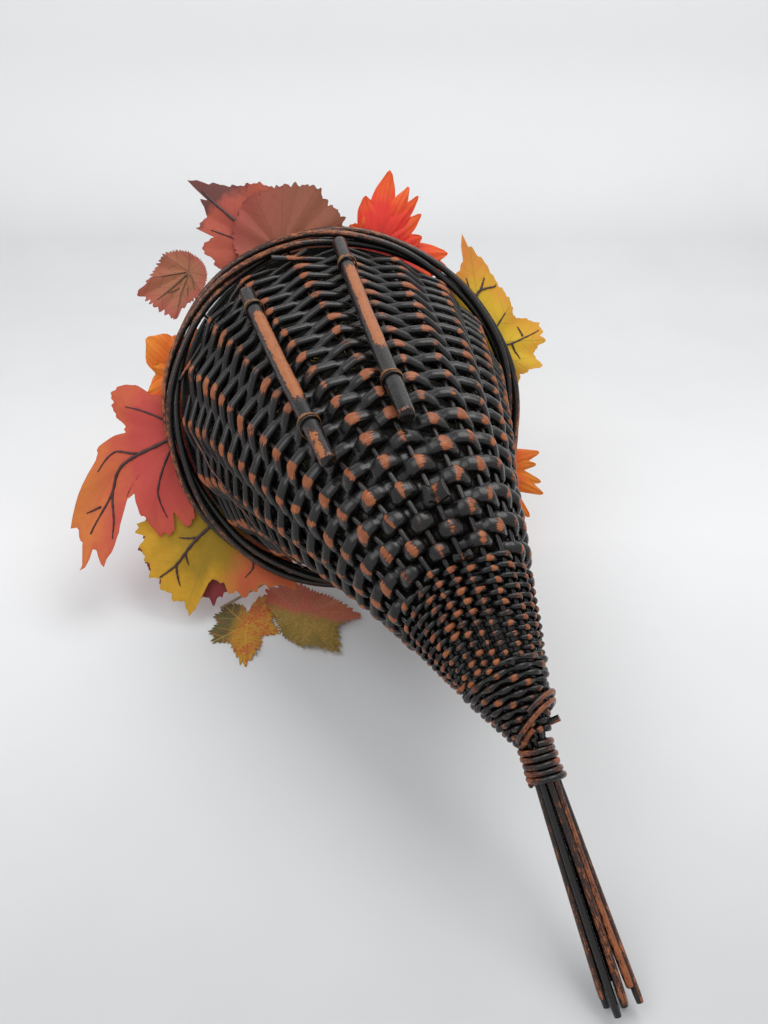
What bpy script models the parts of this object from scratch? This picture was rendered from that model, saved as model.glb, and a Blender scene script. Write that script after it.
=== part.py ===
# Cornucopia basket: a woven willow horn with two foot rods, a bound tail and a wreath of
# cloth leaves and flowers round its mouth, lying feet up on a table as it is shown.
# The horn is designed in its own frame: origin at the middle of the collar binding,
# +Y towards the mouth, +Z towards the feet, +X across. One empty carries every piece,
# rolls the horn as it lies and sets its lowest point on z = 0.
import math

import bmesh
import bpy
import numpy as np
from mathutils import Vector
from mathutils.bvhtree import BVHTree

for old in list(bpy.data.objects):
    bpy.data.objects.remove(old, do_unlink=True)

# Clearances
GAP = 0.0003             # between pieces that touch on the real basket
WEAVE_GAP = 0.0004       # between a weaver and the stake it bends round
ROW_GAP = 0.0008         # between neighbouring rows of weaving
WIND_GAP = 0.0005        # between the turns of a winding

# Horn wall, measured to the middle of the stakes
HORN_REACH = 0.294       # collar to the mouth's top edge, level
HORN_RISE = 0.145        # the mouth's lower edge to its top edge
MOUTH_WIDTH = 0.188
top_reach_shares = (1.000, 0.881, 0.731, 0.588, 0.449, 0.312, 0.193, 0.091)
top_rise_shares = (0.735, 0.715, 0.687, 0.659, 0.624, 0.549, 0.411, 0.249)
low_reach_shares = (0.571, 0.517, 0.473, 0.415, 0.350, 0.279, 0.204, 0.122)
low_rise_shares = (-0.275, -0.117, -0.066, -0.047, -0.035, -0.012, 0.012, 0.030)
half_width_shares = (1.000, 0.888, 0.773, 0.653, 0.515, 0.395, 0.283, 0.178)

# How it lies
ROLL = math.radians(10.4)
COLLAR_HEIGHT = 0.0618   # middle of the collar over the table

# Stakes
MAIN_STAKES = 9
EXTRA_STAKES = 10
STAKE_D = 0.0024
STAKE_BENDS = 12         # a stake bends evenly, in this many straight lengths

# Collar and tail
COLLAR_LENGTH = 0.016
COLLAR_TURNS = 6
COLLAR_FLARE = 0.0006    # the last turn stands out by this
TAIL_REACH = 0.0700      # collar to the tips, level
TAIL_SWAY = 0.0070       # the tail leans this far to one side
FAN_WIDTH = 0.0160       # the tips, across
FAN_HEIGHT = 0.0088
tip_shares = (0.00, -0.05, 0.03, -0.02, 0.05, -0.06, 0.02, -0.03, 0.04)
LASH_D = 0.0012
LASH_TURNS = 2
lash_start_share = 0.44  # from the last row of weaving (0) to the collar (1)
lash_advance_share = 0.17
lash_slant_share = 0.11
STUB_D = 0.0024
STUB_LENGTH = 0.0080
stub_share = 0.84        # from the last row to the collar
stub_turn_share = 0.200
LOOP_POINTS = 24
SEAT_STEPS = 6           # trials to bring a piece down on what carries it

# Weaving
WIDE_ROWS = 30
WIDE_STRANDS = 5
BROAD_ROWS = 4
FINE_ROWS = 13
FINE_STRANDS = 2
WIDE_END_STATION = 5.25
BROAD_END_STATION = 5.95
FINE_END_STATION = 7.10
UPPER_WIDTH = 0.0040     # a split weaver near the mouth
BROAD_WIDTH = 0.0066     # and in the middle of the horn
FINE_WIDTH = 0.0026      # whole thin rods near the tail
UPPER_THICK = 0.0026
BROAD_THICK = 0.0030
FINE_THICK = 0.0014
THIN_WIDTH = 0.0012      # where rows crowd together under the horn
ridge_share = 0.7        # outer face of a split weaver against its width
LOOSE_D = 0.0012
LOOSE_POINTS = 14

# Border
BORDER_RODS = 4
BORDER_D = 0.0034
BORDER_DEPTH = 0.0130    # along the wall
BORDER_TWISTS = 2
BORDER_POINTS = 32

# Feet
FOOT_D = 0.0080
FOOT_EDGE = 0.0005
TIE_D = 0.0012
TIE_TURNS = 2

# Wreath
RING_D = 0.0032
RING_POINTS = 40
STEM_D = 0.0016
LEAF_THICK = 0.0008
LEAF_STEP = 0.0014       # one leaf layer over the next
LEAF_LENGTH = 0.0600
FLOWER_RADIUS = 0.0450
FLARE_DEPTH = 0.0050     # how far the leaves bend away from the basket
FLARE_REACH = 0.0600
SMALL_LEAF = 0.0400

# Helpers for curves through stations


def through(table, place):
    table = np.asarray(table, float)
    place = np.clip(np.asarray(place, float), 0.0, len(table) - 1)
    low = np.minimum(np.floor(place).astype(int), len(table) - 2)
    part = place - low
    padded = np.concatenate([[2 * table[0] - table[1]], table, [2 * table[-1] - table[-2]]])
    before, start, end, after = padded[low], padded[low + 1], padded[low + 2], padded[low + 3]
    if table.ndim > 1:
        part = part[..., None]
    return 0.5 * (2 * start + (end - before) * part
                  + (2 * before - 5 * start + 4 * end - after) * part ** 2
                  + (3 * start - before - 3 * end + after) * part ** 3)


def unit(vectors):
    return vectors / np.linalg.norm(vectors, axis=-1, keepdims=True)


def table_height(x):
    """Height, in the horn's frame, of the table under a place across the horn."""
    return -(COLLAR_HEIGHT + math.sin(ROLL) * x) / math.cos(ROLL)


# Where each stake stands round the wall: even spacing at the mouth, and the main
# stakes evenly spaced again where they run into the tail
stake_count = MAIN_STAKES + EXTRA_STAKES
pair_count = MAIN_STAKES - 1
tail_turns = []
for stake in range(stake_count):
    if stake <= 2 * pair_count:
        tail_turns.append(stake / (2 * MAIN_STAKES))
    else:
        part = (stake - 2 * pair_count) / (stake_count - 2 * pair_count)
        tail_turns.append((pair_count + part) / MAIN_STAKES)
main_stakes = [2 * index for index in range(MAIN_STAKES)]


def tail_ways(tail_end):
    axis = unit(tail_end)
    across = unit(np.cross(axis, np.array([0.0, 0.0, 1.0])))
    across = across * np.sign(across[0])
    upright = unit(np.cross(across, axis))
    return axis, across, upright * np.sign(upright[2])


def tail_tips(tail_end):
    axis, across, upright = tail_ways(tail_end)
    tips = []
    for index, stake in enumerate(main_stakes):
        turn = 2 * math.pi * tail_turns[stake]
        tips.append(tail_end * (1 + tip_shares[index % len(tip_shares)])
                    + across * math.sin(turn) * FAN_WIDTH / 2
                    + upright * math.cos(turn) * FAN_HEIGHT / 2)
    return tips


# Tail axis: from the middle of the collar to the middle of the fanned tips, which rest
# on the table by the lowest of them
tail_end = np.array([-TAIL_SWAY, -TAIL_REACH, table_height(-TAIL_SWAY)])
for _ in range(6):
    tip_radius = STAKE_D / 2 * math.hypot(unit(tail_end)[0], unit(tail_end)[1])
    lowest = min((tip[2] - table_height(tip[0])) * math.cos(ROLL) for tip in tail_tips(tail_end))
    tail_end[2] += tip_radius - lowest
tail_axis, tail_across, tail_up = tail_ways(tail_end)

# The stakes lie side by side in a ring where the collar binds them
bundle_radius = (STAKE_D + GAP) / (2 * math.sin(math.pi / MAIN_STAKES))
collar_top = -tail_axis * COLLAR_LENGTH / 2

tops = [(0.0, HORN_REACH * reach, HORN_RISE * rise)
        for reach, rise in zip(top_reach_shares, top_rise_shares)]
lows = [(0.0, HORN_REACH * reach, HORN_RISE * rise)
        for reach, rise in zip(low_reach_shares, low_rise_shares)]
sides = [(MOUTH_WIDTH / 2 * share, 0.0, 0.0) for share in half_width_shares]
tops.append(tuple(collar_top + tail_up * bundle_radius))
lows.append(tuple(collar_top - tail_up * bundle_radius))
sides.append(tuple(tail_across * bundle_radius))
last_station = len(tops) - 1


def wall(station, angle):
    """A point of the wall: station 0 is the mouth; angle 0 is the foot side."""
    station, angle = np.broadcast_arrays(np.asarray(station, float), np.asarray(angle, float))
    top, low, side = through(tops, station), through(lows, station), through(sides, station)
    turn = angle[..., None]
    return (top + low) / 2 + (top - low) / 2 * np.cos(turn) + side * np.sin(turn)


def outward(station, angle):
    station, angle = np.broadcast_arrays(np.asarray(station, float), np.asarray(angle, float))
    nudge = 1e-3
    around = wall(station, angle + nudge) - wall(station, angle - nudge)
    along = (wall(np.minimum(station + nudge, last_station), angle)
             - wall(np.maximum(station - nudge, 0.0), angle))
    return unit(np.cross(along, around))


def surface(station, angle, offset):
    return wall(station, angle) + outward(station, angle) * np.asarray(offset)[..., None]


fine_stations = np.linspace(0.0, last_station, 801)


def arc_to(angle):
    points = wall(fine_stations, np.full(len(fine_stations), angle))
    steps = np.linalg.norm(np.diff(points, axis=0), axis=1)
    return np.concatenate([[0.0], np.cumsum(steps)])


def station_at_depth(angle, depth):
    return float(np.interp(depth, arc_to(angle), fine_stations))


# Between these stations the stakes go over from even spacing to the tail's own
even_from, even_to = 4.0, 6.5


def stake_angle(stake, station):
    blend = np.clip((np.asarray(station, float) - even_from) / (even_to - even_from), 0.0, 1.0)
    blend = blend * blend * (3 - 2 * blend)
    return 2 * math.pi * ((1 - blend) * stake / stake_count + blend * tail_turns[stake])


stake_knots = np.linspace(0.0, last_station, STAKE_BENDS + 1)
stake_lines = [wall(stake_knots, stake_angle(stake, stake_knots)) for stake in range(stake_count)]


def stake_point(stake, station):
    return np.stack([np.interp(station, stake_knots, stake_lines[stake][:, axis])
                     for axis in range(3)], axis=-1)


# Rows of weaving, spaced along the top of the wall
first_row_station = max(
    station_at_depth(angle, BORDER_DEPTH + ROW_GAP + UPPER_WIDTH / 2)
    for angle in np.linspace(0.0, 2 * math.pi, 24, endpoint=False))
top_arc = arc_to(0.0)


def row_stations(start, end, rows, first_share, last_share):
    weights = np.linspace(first_share, last_share, rows)
    ends = np.interp([start, end], fine_stations, top_arc)
    arcs = ends[0] + (ends[1] - ends[0]) * np.concatenate([[0.0], np.cumsum(weights)]) / weights.sum()
    return np.interp(arcs, top_arc, fine_stations)


wide_rows = row_stations(first_row_station, WIDE_END_STATION, WIDE_ROWS, 0.8, 1.2)
broad_rows = row_stations(WIDE_END_STATION, BROAD_END_STATION, BROAD_ROWS, 1.1, 0.9)
fine_rows = row_stations(BROAD_END_STATION, FINE_END_STATION, FINE_ROWS, 1.1, 0.9)
all_rows = np.concatenate([wide_rows, broad_rows[1:], fine_rows[1:]])
row_total = len(all_rows) - 1


def row_station(row):
    return np.interp(row, np.arange(row_total + 1), all_rows)


# Objects, materials and the basket's own empty
parts = bpy.data.collections.new("cornucopia_basket")
bpy.context.scene.collection.children.link(parts)
frame = bpy.data.objects.new("basket_frame", None)
parts.objects.link(frame)


def material(name, colour, roughness=0.45, metallic=0.0):
    made = bpy.data.materials.new(name)
    made.use_nodes = True
    shader = made.node_tree.nodes["Principled BSDF"]
    shader.inputs["Base Color"].default_value = (*colour, 1.0)
    shader.inputs["Roughness"].default_value = roughness
    shader.inputs["Metallic"].default_value = metallic
    return made


charcoal = (0.020, 0.019, 0.020)
brown = (0.120, 0.050, 0.022)
cane = (0.200, 0.090, 0.040)


def place(name, data, colour, roughness=0.45):
    made = bpy.data.objects.new(name, data)
    parts.objects.link(made)
    made.parent = frame
    data.materials.append(material(name + "_finish", colour, roughness))
    return made


def tube(name, points, diameter, colour, resolution=1, closed=False, radii=None):
    curve = bpy.data.curves.new(name, "CURVE")
    curve.dimensions = "3D"
    spline = curve.splines.new("POLY")
    spline.points.add(len(points) - 1)
    for index, point in enumerate(points):
        spline.points[index].co = (*point, 1.0)
        if radii is not None:
            spline.points[index].radius = radii[index]
    spline.use_cyclic_u = closed
    curve.bevel_depth = diameter / 2
    curve.bevel_resolution = resolution
    curve.render_resolution_u = 0
    curve.use_fill_caps = not closed
    return place(name, curve, colour)


def self_gap(points, diameter):
    """Least gap of a winding to itself, measured between points over half a turn apart."""
    points = np.asarray(points)
    apart = np.linalg.norm(points[:, None] - points[None, :], axis=-1)
    index = np.arange(len(points))
    apart[np.abs(index[:, None] - index[None, :]) < LOOP_POINTS // 2] = np.inf
    return apart.min() - diameter


# A split weaver: a loft of half-round sections, each lying flat on the stake it crosses
def section_ways(path, runs, faces):
    ahead = unit(np.vstack([path[1:] - path[:-1], path[-1:] - path[-2:-1]]))
    behind = unit(np.vstack([path[1:2] - path[:1], path[1:] - path[:-1]]))
    along = unit(ahead + behind)
    out = unit(np.cross(along, runs))
    out = out * np.sign((out * faces).sum(axis=1))[:, None]
    return np.cross(along, out), out


def strand(name, path, across, out, widths, thicks, colour):
    mesh = bmesh.new()
    rings = []
    for centre, side, up, width, thick in zip(path, across, out, widths, thicks):
        corners = ((-width, -thick), (width, -thick),
                   (width * ridge_share, thick), (-width * ridge_share, thick))
        rings.append([mesh.verts.new(Vector(centre + side * (a / 2) + up * (b / 2)))
                      for a, b in corners])
    mesh.faces.new(rings[0][::-1])
    mesh.faces.new(rings[-1])
    for first, second in zip(rings, rings[1:]):
        for corner in range(4):
            following = (corner + 1) % 4
            mesh.faces.new((first[corner], first[following], second[following], second[corner]))
    bmesh.ops.recalc_face_normals(mesh, faces=mesh.faces)
    data = bpy.data.meshes.new(name)
    mesh.to_mesh(data)
    mesh.free()
    return place(name, data, colour)


# Weave path: out round one stake, in round the next. A thin rod turns round a stake in
# two bends and a split one in a single bend; each is set off just clear of the stake.
def weave(first_row, last_row, stakes, width_at, thick_at, bends):
    count = len(stakes)
    total = int(round((last_row - first_row) * count))
    rows = first_row + np.arange(total + 1) / count
    stations = row_station(rows)
    crossed = [stakes[index % count] for index in range(total + 1)]
    angles = np.array([stake_angle(stake, station) for stake, station in zip(crossed, stations)])
    middles = np.array([stake_point(stake, station) for stake, station in zip(crossed, stations)])
    faces = outward(stations, angles)
    nudge = 1e-3
    runs = unit(np.array([stake_point(stake, station - nudge)
                          for stake, station in zip(crossed, stations)]) - middles)
    rounds = unit(wall(stations, angles + nudge) - wall(stations, angles - nudge))
    squareness = np.linalg.norm(np.cross(rounds, runs), axis=1)
    here = wall(stations, angles)
    ahead = wall(row_station(np.minimum(rows + 1, row_total)), angles)
    behind = wall(row_station(np.maximum(rows - 1, 0.0)), angles)
    pitch_ahead = np.linalg.norm(ahead - here, axis=1)
    pitch_behind = np.linalg.norm(behind - here, axis=1)
    pitch = np.minimum(np.where(rows + 1 > row_total, pitch_behind, pitch_ahead),
                       np.where(rows - 1 < 0.0, pitch_ahead, pitch_behind))
    slant = np.sqrt(np.maximum(1 - squareness ** 2, 0.0))
    thicks = np.array([thick_at(row) for row in rows])
    room = np.maximum(pitch * squareness - thicks * slant - ROW_GAP, THIN_WIDTH)
    widths = np.minimum([width_at(row) for row in rows], room)
    sign = np.where(np.arange(total + 1) % 2 == 0, 1.0, -1.0)
    owner = np.repeat(np.arange(total + 1), bends)
    reach = (STAKE_D / 2 + thicks / 2) * (bends - 1)
    shift = np.repeat(np.array([[-1.0, 1.0]]), total + 1, axis=0).ravel() if bends == 2 else 0.0
    offsets = STAKE_D / 2 + thicks / 2 + WEAVE_GAP
    for _ in range(10):
        path = (middles + faces * (sign * offsets)[:, None])[owner]
        path = path + (rounds * reach[:, None])[owner] * np.reshape(shift, (-1, 1))
        across, out = section_ways(path, runs[owner], faces[owner])
        least = np.full(total + 1, np.inf)
        for level, spread, crossing in ((-1.0, 1.0, 1.0), (1.0, ridge_share, -1.0)):
            for side in (-1.0, -0.5, 0.0, 0.5, 1.0):
                edge = (path + across * (widths[owner] / 2 * spread * side)[:, None]
                        + out * (level * thicks[owner] / 2)[:, None])
                for step in (1, -1):
                    for part in (0.0, 0.06, 0.12, 0.2, 0.3):
                        spot = edge + (np.roll(edge, step, axis=0) - edge) * part
                        away = spot - middles[owner]
                        away = away - runs[owner] * (away * runs[owner]).sum(axis=1, keepdims=True)
                        off = np.linalg.norm(away, axis=1)
                        off[0 if step == 1 else -1] = np.inf
                        off[sign[owner] != crossing] = np.inf
                        np.minimum.at(least, owner, off)
        offsets = offsets + np.maximum(STAKE_D / 2 + WEAVE_GAP - least, 0.0)
    print(f"rows {first_row} to {last_row}: {widths.min() * 1000:.2f} to {widths.max() * 1000:.2f} mm wide,",
          f"stand out {(offsets + thicks / 2).max() * 1000:.2f} mm")
    return path, across, out, widths[owner], thicks[owner], float((offsets + thicks / 2).max())


def lerp(first, second, share):
    return first + (second - first) * min(max(share, 0.0), 1.0)


all_stakes = list(range(stake_count))


def wide_width(row):
    return lerp(UPPER_WIDTH, BROAD_WIDTH, (row / WIDE_ROWS) ** 2)


def wide_thick(row):
    return lerp(UPPER_THICK, BROAD_THICK, (row / WIDE_ROWS) ** 2)


*woven, wall_cover = weave(0, WIDE_ROWS, all_stakes, wide_width, wide_thick, 1)
edges = [2 * round(len(woven[0]) * index / WIDE_STRANDS / 2) for index in range(WIDE_STRANDS)]
for index, (start, end) in enumerate(zip(edges, edges[1:] + [len(woven[0])])):
    strand(f"weaver_wide_{index + 1}", *[values[start:end] for values in woven], charcoal)

*woven, broad_cover = weave(WIDE_ROWS, WIDE_ROWS + BROAD_ROWS, main_stakes,
                            lambda row: BROAD_WIDTH, lambda row: BROAD_THICK, 1)
strand("weaver_broad", *[values[1:-1] for values in woven], charcoal)

*woven, fine_cover = weave(WIDE_ROWS + BROAD_ROWS, row_total, main_stakes,
                           lambda row: FINE_WIDTH, lambda row: FINE_THICK, 2)
edges = [4 * round(len(woven[0]) * index / FINE_STRANDS / 4) for index in range(FINE_STRANDS)]
edges[0] = 2
for index, (start, end) in enumerate(zip(edges, edges[1:] + [len(woven[0])])):
    strand(f"weaver_fine_{index + 1}", *[values[start:end] for values in woven], charcoal)

# Stakes: the main ones run on through the collar and fan out as the tail
for index, (stake, tip) in enumerate(zip(main_stakes, tail_tips(tail_end))):
    points = list(stake_lines[stake])
    turn = 2 * math.pi * tail_turns[stake]
    start = collar_top + (tail_across * math.sin(turn) + tail_up * math.cos(turn)) * bundle_radius
    points.append(start + tail_axis * COLLAR_LENGTH)
    points.append(tip)
    tube(f"stake_main_{index + 1}", points, STAKE_D, charcoal)

extra_stakes = [stake for stake in all_stakes if stake not in main_stakes]
for index, stake in enumerate(extra_stakes):
    turn_share = stake / stake_count
    end_station = float(row_station(WIDE_ROWS - 0.7 + turn_share))
    stations = np.append(stake_knots[stake_knots < end_station - 0.05], end_station)
    tube(f"stake_extra_{index + 1}", stake_point(stake, stations), STAKE_D, charcoal)

# Border: four rods laid round the mouth, changing places as they go
border_swing = (BORDER_D + WIND_GAP) / math.sqrt(2)
border_half = (BORDER_DEPTH - BORDER_D) / 2
for index in range(BORDER_RODS):
    points = []
    for step in range(BORDER_POINTS):
        angle = 2 * math.pi * step / BORDER_POINTS
        phase = 2 * math.pi * index / BORDER_RODS + BORDER_TWISTS * angle
        depth = BORDER_DEPTH / 2 + border_half * math.sin(phase)
        offset = STAKE_D / 2 + GAP + BORDER_D / 2 + border_swing * (1 + math.cos(phase))
        points.append(surface(station_at_depth(angle, depth), angle, offset))
    tube(f"border_rod_{index + 1}", points, BORDER_D, charcoal, closed=True)

# Feet: two rods along the top, standing just clear of the weave on their ties
def solid_mesh(made, graph):
    solid = made.evaluated_get(graph)
    mesh = solid.to_mesh()
    points = np.empty(len(mesh.vertices) * 3)
    mesh.vertices.foreach_get("co", points)
    turned = np.array(solid.matrix_world) @ np.vstack([points.reshape(-1, 3).T, np.ones(len(mesh.vertices))])
    faces = [tuple(face.vertices) for face in mesh.polygons]
    solid.to_mesh_clear()
    return turned[:3].T, faces


bpy.context.view_layer.update()
graph = bpy.context.evaluated_depsgraph_get()
woven_trees = []
for made in parts.objects:
    if made.type != "EMPTY":
        corners, faces = solid_mesh(made, graph)
        woven_trees.append(BVHTree.FromPolygons([tuple(corner) for corner in corners], faces))


def least_gap(points, radius):
    """Gap from a run of round section to everything built so far."""
    return min(tree.find_nearest(Vector(point))[3] for tree in woven_trees for point in points) - radius


feet = {
    "foot_right": {"front": (0.67, 16.0), "back": (4.43, 3.0), "ties": (0.16, 0.83)},
    "foot_left": {"front": (1.01, -22.0), "back": (4.35, -38.0), "ties": (0.12, 0.81)},
}
for name, foot in feet.items():
    spots = np.array([foot["front"], foot["back"]])
    base = FOOT_D / 2 + wall_cover + GAP
    ends = surface(spots[:, 0], np.radians(spots[:, 1]), np.full(2, base))
    lift = unit(outward(spots[:, 0], np.radians(spots[:, 1])).sum(axis=0))
    tie_radius = FOOT_D / 2 + GAP + TIE_D / 2
    tie_pitch = TIE_D + WIND_GAP

    def tie_points(share):
        axis = unit(ends[1] - ends[0])
        level = unit(np.cross(axis, lift))
        upright = np.cross(level, axis)
        centre = ends[0] + (ends[1] - ends[0]) * share
        turns = np.arange(TIE_TURNS * LOOP_POINTS + 1) / LOOP_POINTS
        swing = 2 * np.pi * turns[:, None]
        return (centre + axis * (tie_pitch * (turns - TIE_TURNS / 2))[:, None]
                + (level * np.sin(swing) + upright * np.cos(swing)) * tie_radius)

    for _ in range(SEAT_STEPS):
        for end in (0, 1):
            shares = np.linspace(end / 2, (end + 1) / 2, 17)
            line = ends[0] + (ends[1] - ends[0]) * shares[:, None]
            short = GAP - min(least_gap(line, FOOT_D / 2),
                              least_gap(tie_points(foot["ties"][end]), TIE_D / 2))
            ends[end] = ends[end] + lift * short
    middle = (ends[0] + ends[1]) / 2
    span = ends[1] - ends[0]
    bpy.ops.mesh.primitive_cylinder_add(vertices=16, radius=FOOT_D / 2, depth=float(np.linalg.norm(span)))
    rod = bpy.context.active_object
    for holder in list(rod.users_collection):
        holder.objects.unlink(rod)
    parts.objects.link(rod)
    rod.name = name
    rod.data.name = name
    rod.parent = frame
    rod.location = middle
    rod.rotation_mode = "QUATERNION"
    rod.rotation_quaternion = Vector(span).to_track_quat("Z", "Y")
    rod.data.materials.append(material(name + "_finish", charcoal))
    rounding = rod.modifiers.new("rounded_ends", "BEVEL")
    rounding.width = FOOT_EDGE
    rounding.segments = 1
    rounding.limit_method = "ANGLE"
    rod.data.shade_smooth()
    rod.data.set_sharp_from_angle(angle=math.radians(40))
    for index, share in enumerate(foot["ties"]):
        points = tie_points(share)
        tube(f"tie_{name}_{index + 1}", points, TIE_D, brown, resolution=0)
        print(f"tie_{name}_{index + 1} least gap to itself {self_gap(points, TIE_D) * 1000:.2f} mm")

# Collar: one cane wound round the bundle
collar_pitch = COLLAR_LENGTH / COLLAR_TURNS
collar_cane = collar_pitch - WIND_GAP
points = []
for step in range(COLLAR_TURNS * LOOP_POINTS + 1 - LOOP_POINTS // 3):
    turn = step / LOOP_POINTS
    swing = 2 * math.pi * turn
    stand = COLLAR_FLARE * min(max(turn - (COLLAR_TURNS - 2), 0.0), 1.0)
    radius = bundle_radius + STAKE_D / 2 + GAP + collar_cane / 2 + stand
    centre = collar_top + tail_axis * (collar_cane / 2 + GAP + turn * collar_pitch)
    points.append(centre + (tail_across * math.sin(swing) + tail_up * math.cos(swing)) * radius)
tube("collar_binding", points, collar_cane, cane)
print(f"collar_binding least gap to itself {self_gap(points, collar_cane) * 1000:.2f} mm")

# Lash: the cane's two slanting turns above the collar
lash_offset = STAKE_D / 2 + GAP + LASH_D / 2


def neck_station(share):
    return FINE_END_STATION + (last_station - FINE_END_STATION) * share


points = []
for step in range(LASH_TURNS * LOOP_POINTS + 1):
    turn = step / LOOP_POINTS
    swing = 2 * math.pi * turn
    share = lash_start_share + lash_advance_share * turn - lash_slant_share * math.cos(swing)
    points.append(surface(neck_station(share), swing, lash_offset))
tube("collar_lash", points, LASH_D, cane)
print(f"collar_lash least gap to itself {self_gap(points, LASH_D) * 1000:.2f} mm")

# Stub: the cut end of a rod that stands out beside the collar
stub_angle = 2 * math.pi * stub_turn_share
stub_start = surface(neck_station(stub_share), stub_angle, STAKE_D / 2 + GAP)
stub_way = outward(neck_station(stub_share), stub_angle)
tube("cut_rod_end", [stub_start, stub_start + stub_way * STUB_LENGTH], STUB_D, charcoal)

# Loose strand across the weave
loose = {"stations": (0.95, 3.10), "degrees": (-76.0, -118.0)}
loose_offset = wall_cover + GAP + LOOSE_D / 2
for _ in range(SEAT_STEPS):
    points = surface(np.linspace(*loose["stations"], LOOSE_POINTS),
                     np.radians(np.linspace(*loose["degrees"], LOOSE_POINTS)),
                     np.full(LOOSE_POINTS, loose_offset))
    halfway = (points[1:] + points[:-1]) / 2
    loose_offset += GAP - least_gap(np.concatenate([points, halfway]), LOOSE_D / 2)
tube("loose_strand", points, LOOSE_D, brown, resolution=0)

# Wreath ring inside the mouth
mouth_middle = (np.asarray(tops[0]) + np.asarray(lows[0])) / 2
mouth_up = unit(np.asarray(tops[0]) - np.asarray(lows[0]))
mouth_out = np.array([0.0, mouth_up[2], -mouth_up[1]])
mouth_half_rise = float(np.linalg.norm(np.asarray(tops[0]) - np.asarray(lows[0]))) / 2
mouth_half_width = MOUTH_WIDTH / 2
ring_inset = STAKE_D / 2 + GAP + RING_D / 2
mouth_turns = 2 * math.pi * np.arange(RING_POINTS) / RING_POINTS
mouth_edge = wall(np.zeros(RING_POINTS), mouth_turns)
stake_way = unit(wall(np.full(RING_POINTS, 0.1), mouth_turns) - mouth_edge)
inward = unit(mouth_middle - mouth_edge)
lean = np.linalg.norm(np.cross(inward, stake_way), axis=1)
ring_line = mouth_edge + inward * (ring_inset / lean)[:, None]
tube("wreath_ring", ring_line, RING_D, brown, closed=True)

# Leaves and flowers: star-shaped sheets, thickened, bending away from the basket
maple_degrees = (0, 10, 18, 28, 40, 48, 56, 66, 76, 92, 104, 122, 150, 180)
maple_shares = (1.00, 0.66, 0.70, 0.42, 0.66, 0.86, 0.62, 0.64, 0.38, 0.52, 0.62, 0.40, 0.22, 0.16)
grape_degrees = (0, 16, 32, 48, 64, 80, 98, 116, 136, 158, 180)
grape_shares = (1.00, 0.90, 0.84, 0.86, 0.76, 0.74, 0.66, 0.58, 0.46, 0.34, 0.22)


def full_outline(degrees, shares, stalk_share):
    angles = list(degrees) + [360 - value for value in reversed(degrees[1:-1])]
    reach = list(shares) + list(reversed(shares[1:-1]))
    if stalk_share:
        reach[angles.index(180)] = stalk_share
    return np.radians(angles), np.array(reach)


def flower_outline(petals):
    count = 4 * petals
    angles = 2 * np.pi * np.arange(count) / count
    reach = 0.42 + 0.58 * np.abs(np.cos(petals * angles / 2)) ** 0.8
    return angles, reach


def sheet(name, outline, size, spot, colour):
    angles, reach = outline
    count = len(angles)
    mesh = bmesh.new()
    bmesh.ops.create_circle(mesh, cap_ends=True, cap_tris=True, segments=count, radius=1.0)
    middle = min(mesh.verts, key=lambda vert: vert.co.length)
    bmesh.ops.subdivide_edges(mesh, edges=list(middle.link_edges), cuts=1)
    for vert in mesh.verts:
        share = vert.co.length
        if share < 0.1:
            vert.co = Vector(spot(0.0, 0.0))
            continue
        index = round(math.atan2(vert.co.y, vert.co.x) / (2 * math.pi) * count) % count
        distance = size * share * reach[index]
        vert.co = Vector(spot(distance * math.cos(angles[index]), distance * math.sin(angles[index])))
    bmesh.ops.recalc_face_normals(mesh, faces=mesh.faces)
    data = bpy.data.meshes.new(name)
    mesh.to_mesh(data)
    mesh.free()
    made = place(name, data, colour, 0.7)
    solid = made.modifiers.new("cloth", "SOLIDIFY")
    solid.thickness = LEAF_THICK
    solid.offset = 0.0
    return made


def mouth_spot(across_share, up_share, heading, layer):
    """Places a sheet in the mouth's plane: where its stalk starts and which way it points."""
    start = np.array([mouth_half_width * across_share, mouth_half_rise * up_share])
    way = np.array([math.sin(math.radians(heading)), math.cos(math.radians(heading))])
    side = np.array([way[1], -way[0]])
    stand = RING_D / 2 + GAP + LEAF_THICK / 2 + layer * LEAF_STEP

    def spot(along, sideways):
        flat = start + way * along + side * sideways
        round_share = math.hypot(flat[0] / mouth_half_width, flat[1] / mouth_half_rise)
        beyond = max(round_share - 1.0, 0.0) * mouth_half_width
        bend = FLARE_DEPTH * (beyond / FLARE_REACH) ** 2
        return (mouth_middle + np.array([1.0, 0.0, 0.0]) * flat[0] + mouth_up * flat[1]
                + mouth_out * (stand + bend))
    return spot


red = (0.42, 0.06, 0.04)
coral = (0.60, 0.13, 0.08)
wine = (0.26, 0.06, 0.04)
rust = (0.30, 0.11, 0.06)
amber = (0.72, 0.34, 0.05)
orange = (0.80, 0.18, 0.02)
scarlet = (0.70, 0.04, 0.02)
olive = (0.34, 0.22, 0.04)
leaves = {
    "leaf_top_grape": ("grape", 0.74, -0.03, 1.00, 22, 0, 0.24, rust),
    "leaf_top_maple": ("maple", 1.00, -0.08, 1.02, -28, 1, 0.16, red),
    "leaf_left_grape": ("grape", 0.60, -0.60, 1.05, -108, 0, 0.62, wine),
    "leaf_right_maple": ("maple", 1.02, 0.94, 0.12, 42, 0, 0.16, amber),
    "leaf_left_maple": ("maple", 1.36, -0.98, 0.18, -122, 0, 0.16, coral),
    "leaf_low_maple": ("maple", 1.00, -0.94, -0.38, -139, 1, 0.16, amber),
    "leaf_low_red": ("maple", 1.00, -0.94, -0.32, -128, 2, 0.16, wine),
}
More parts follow.
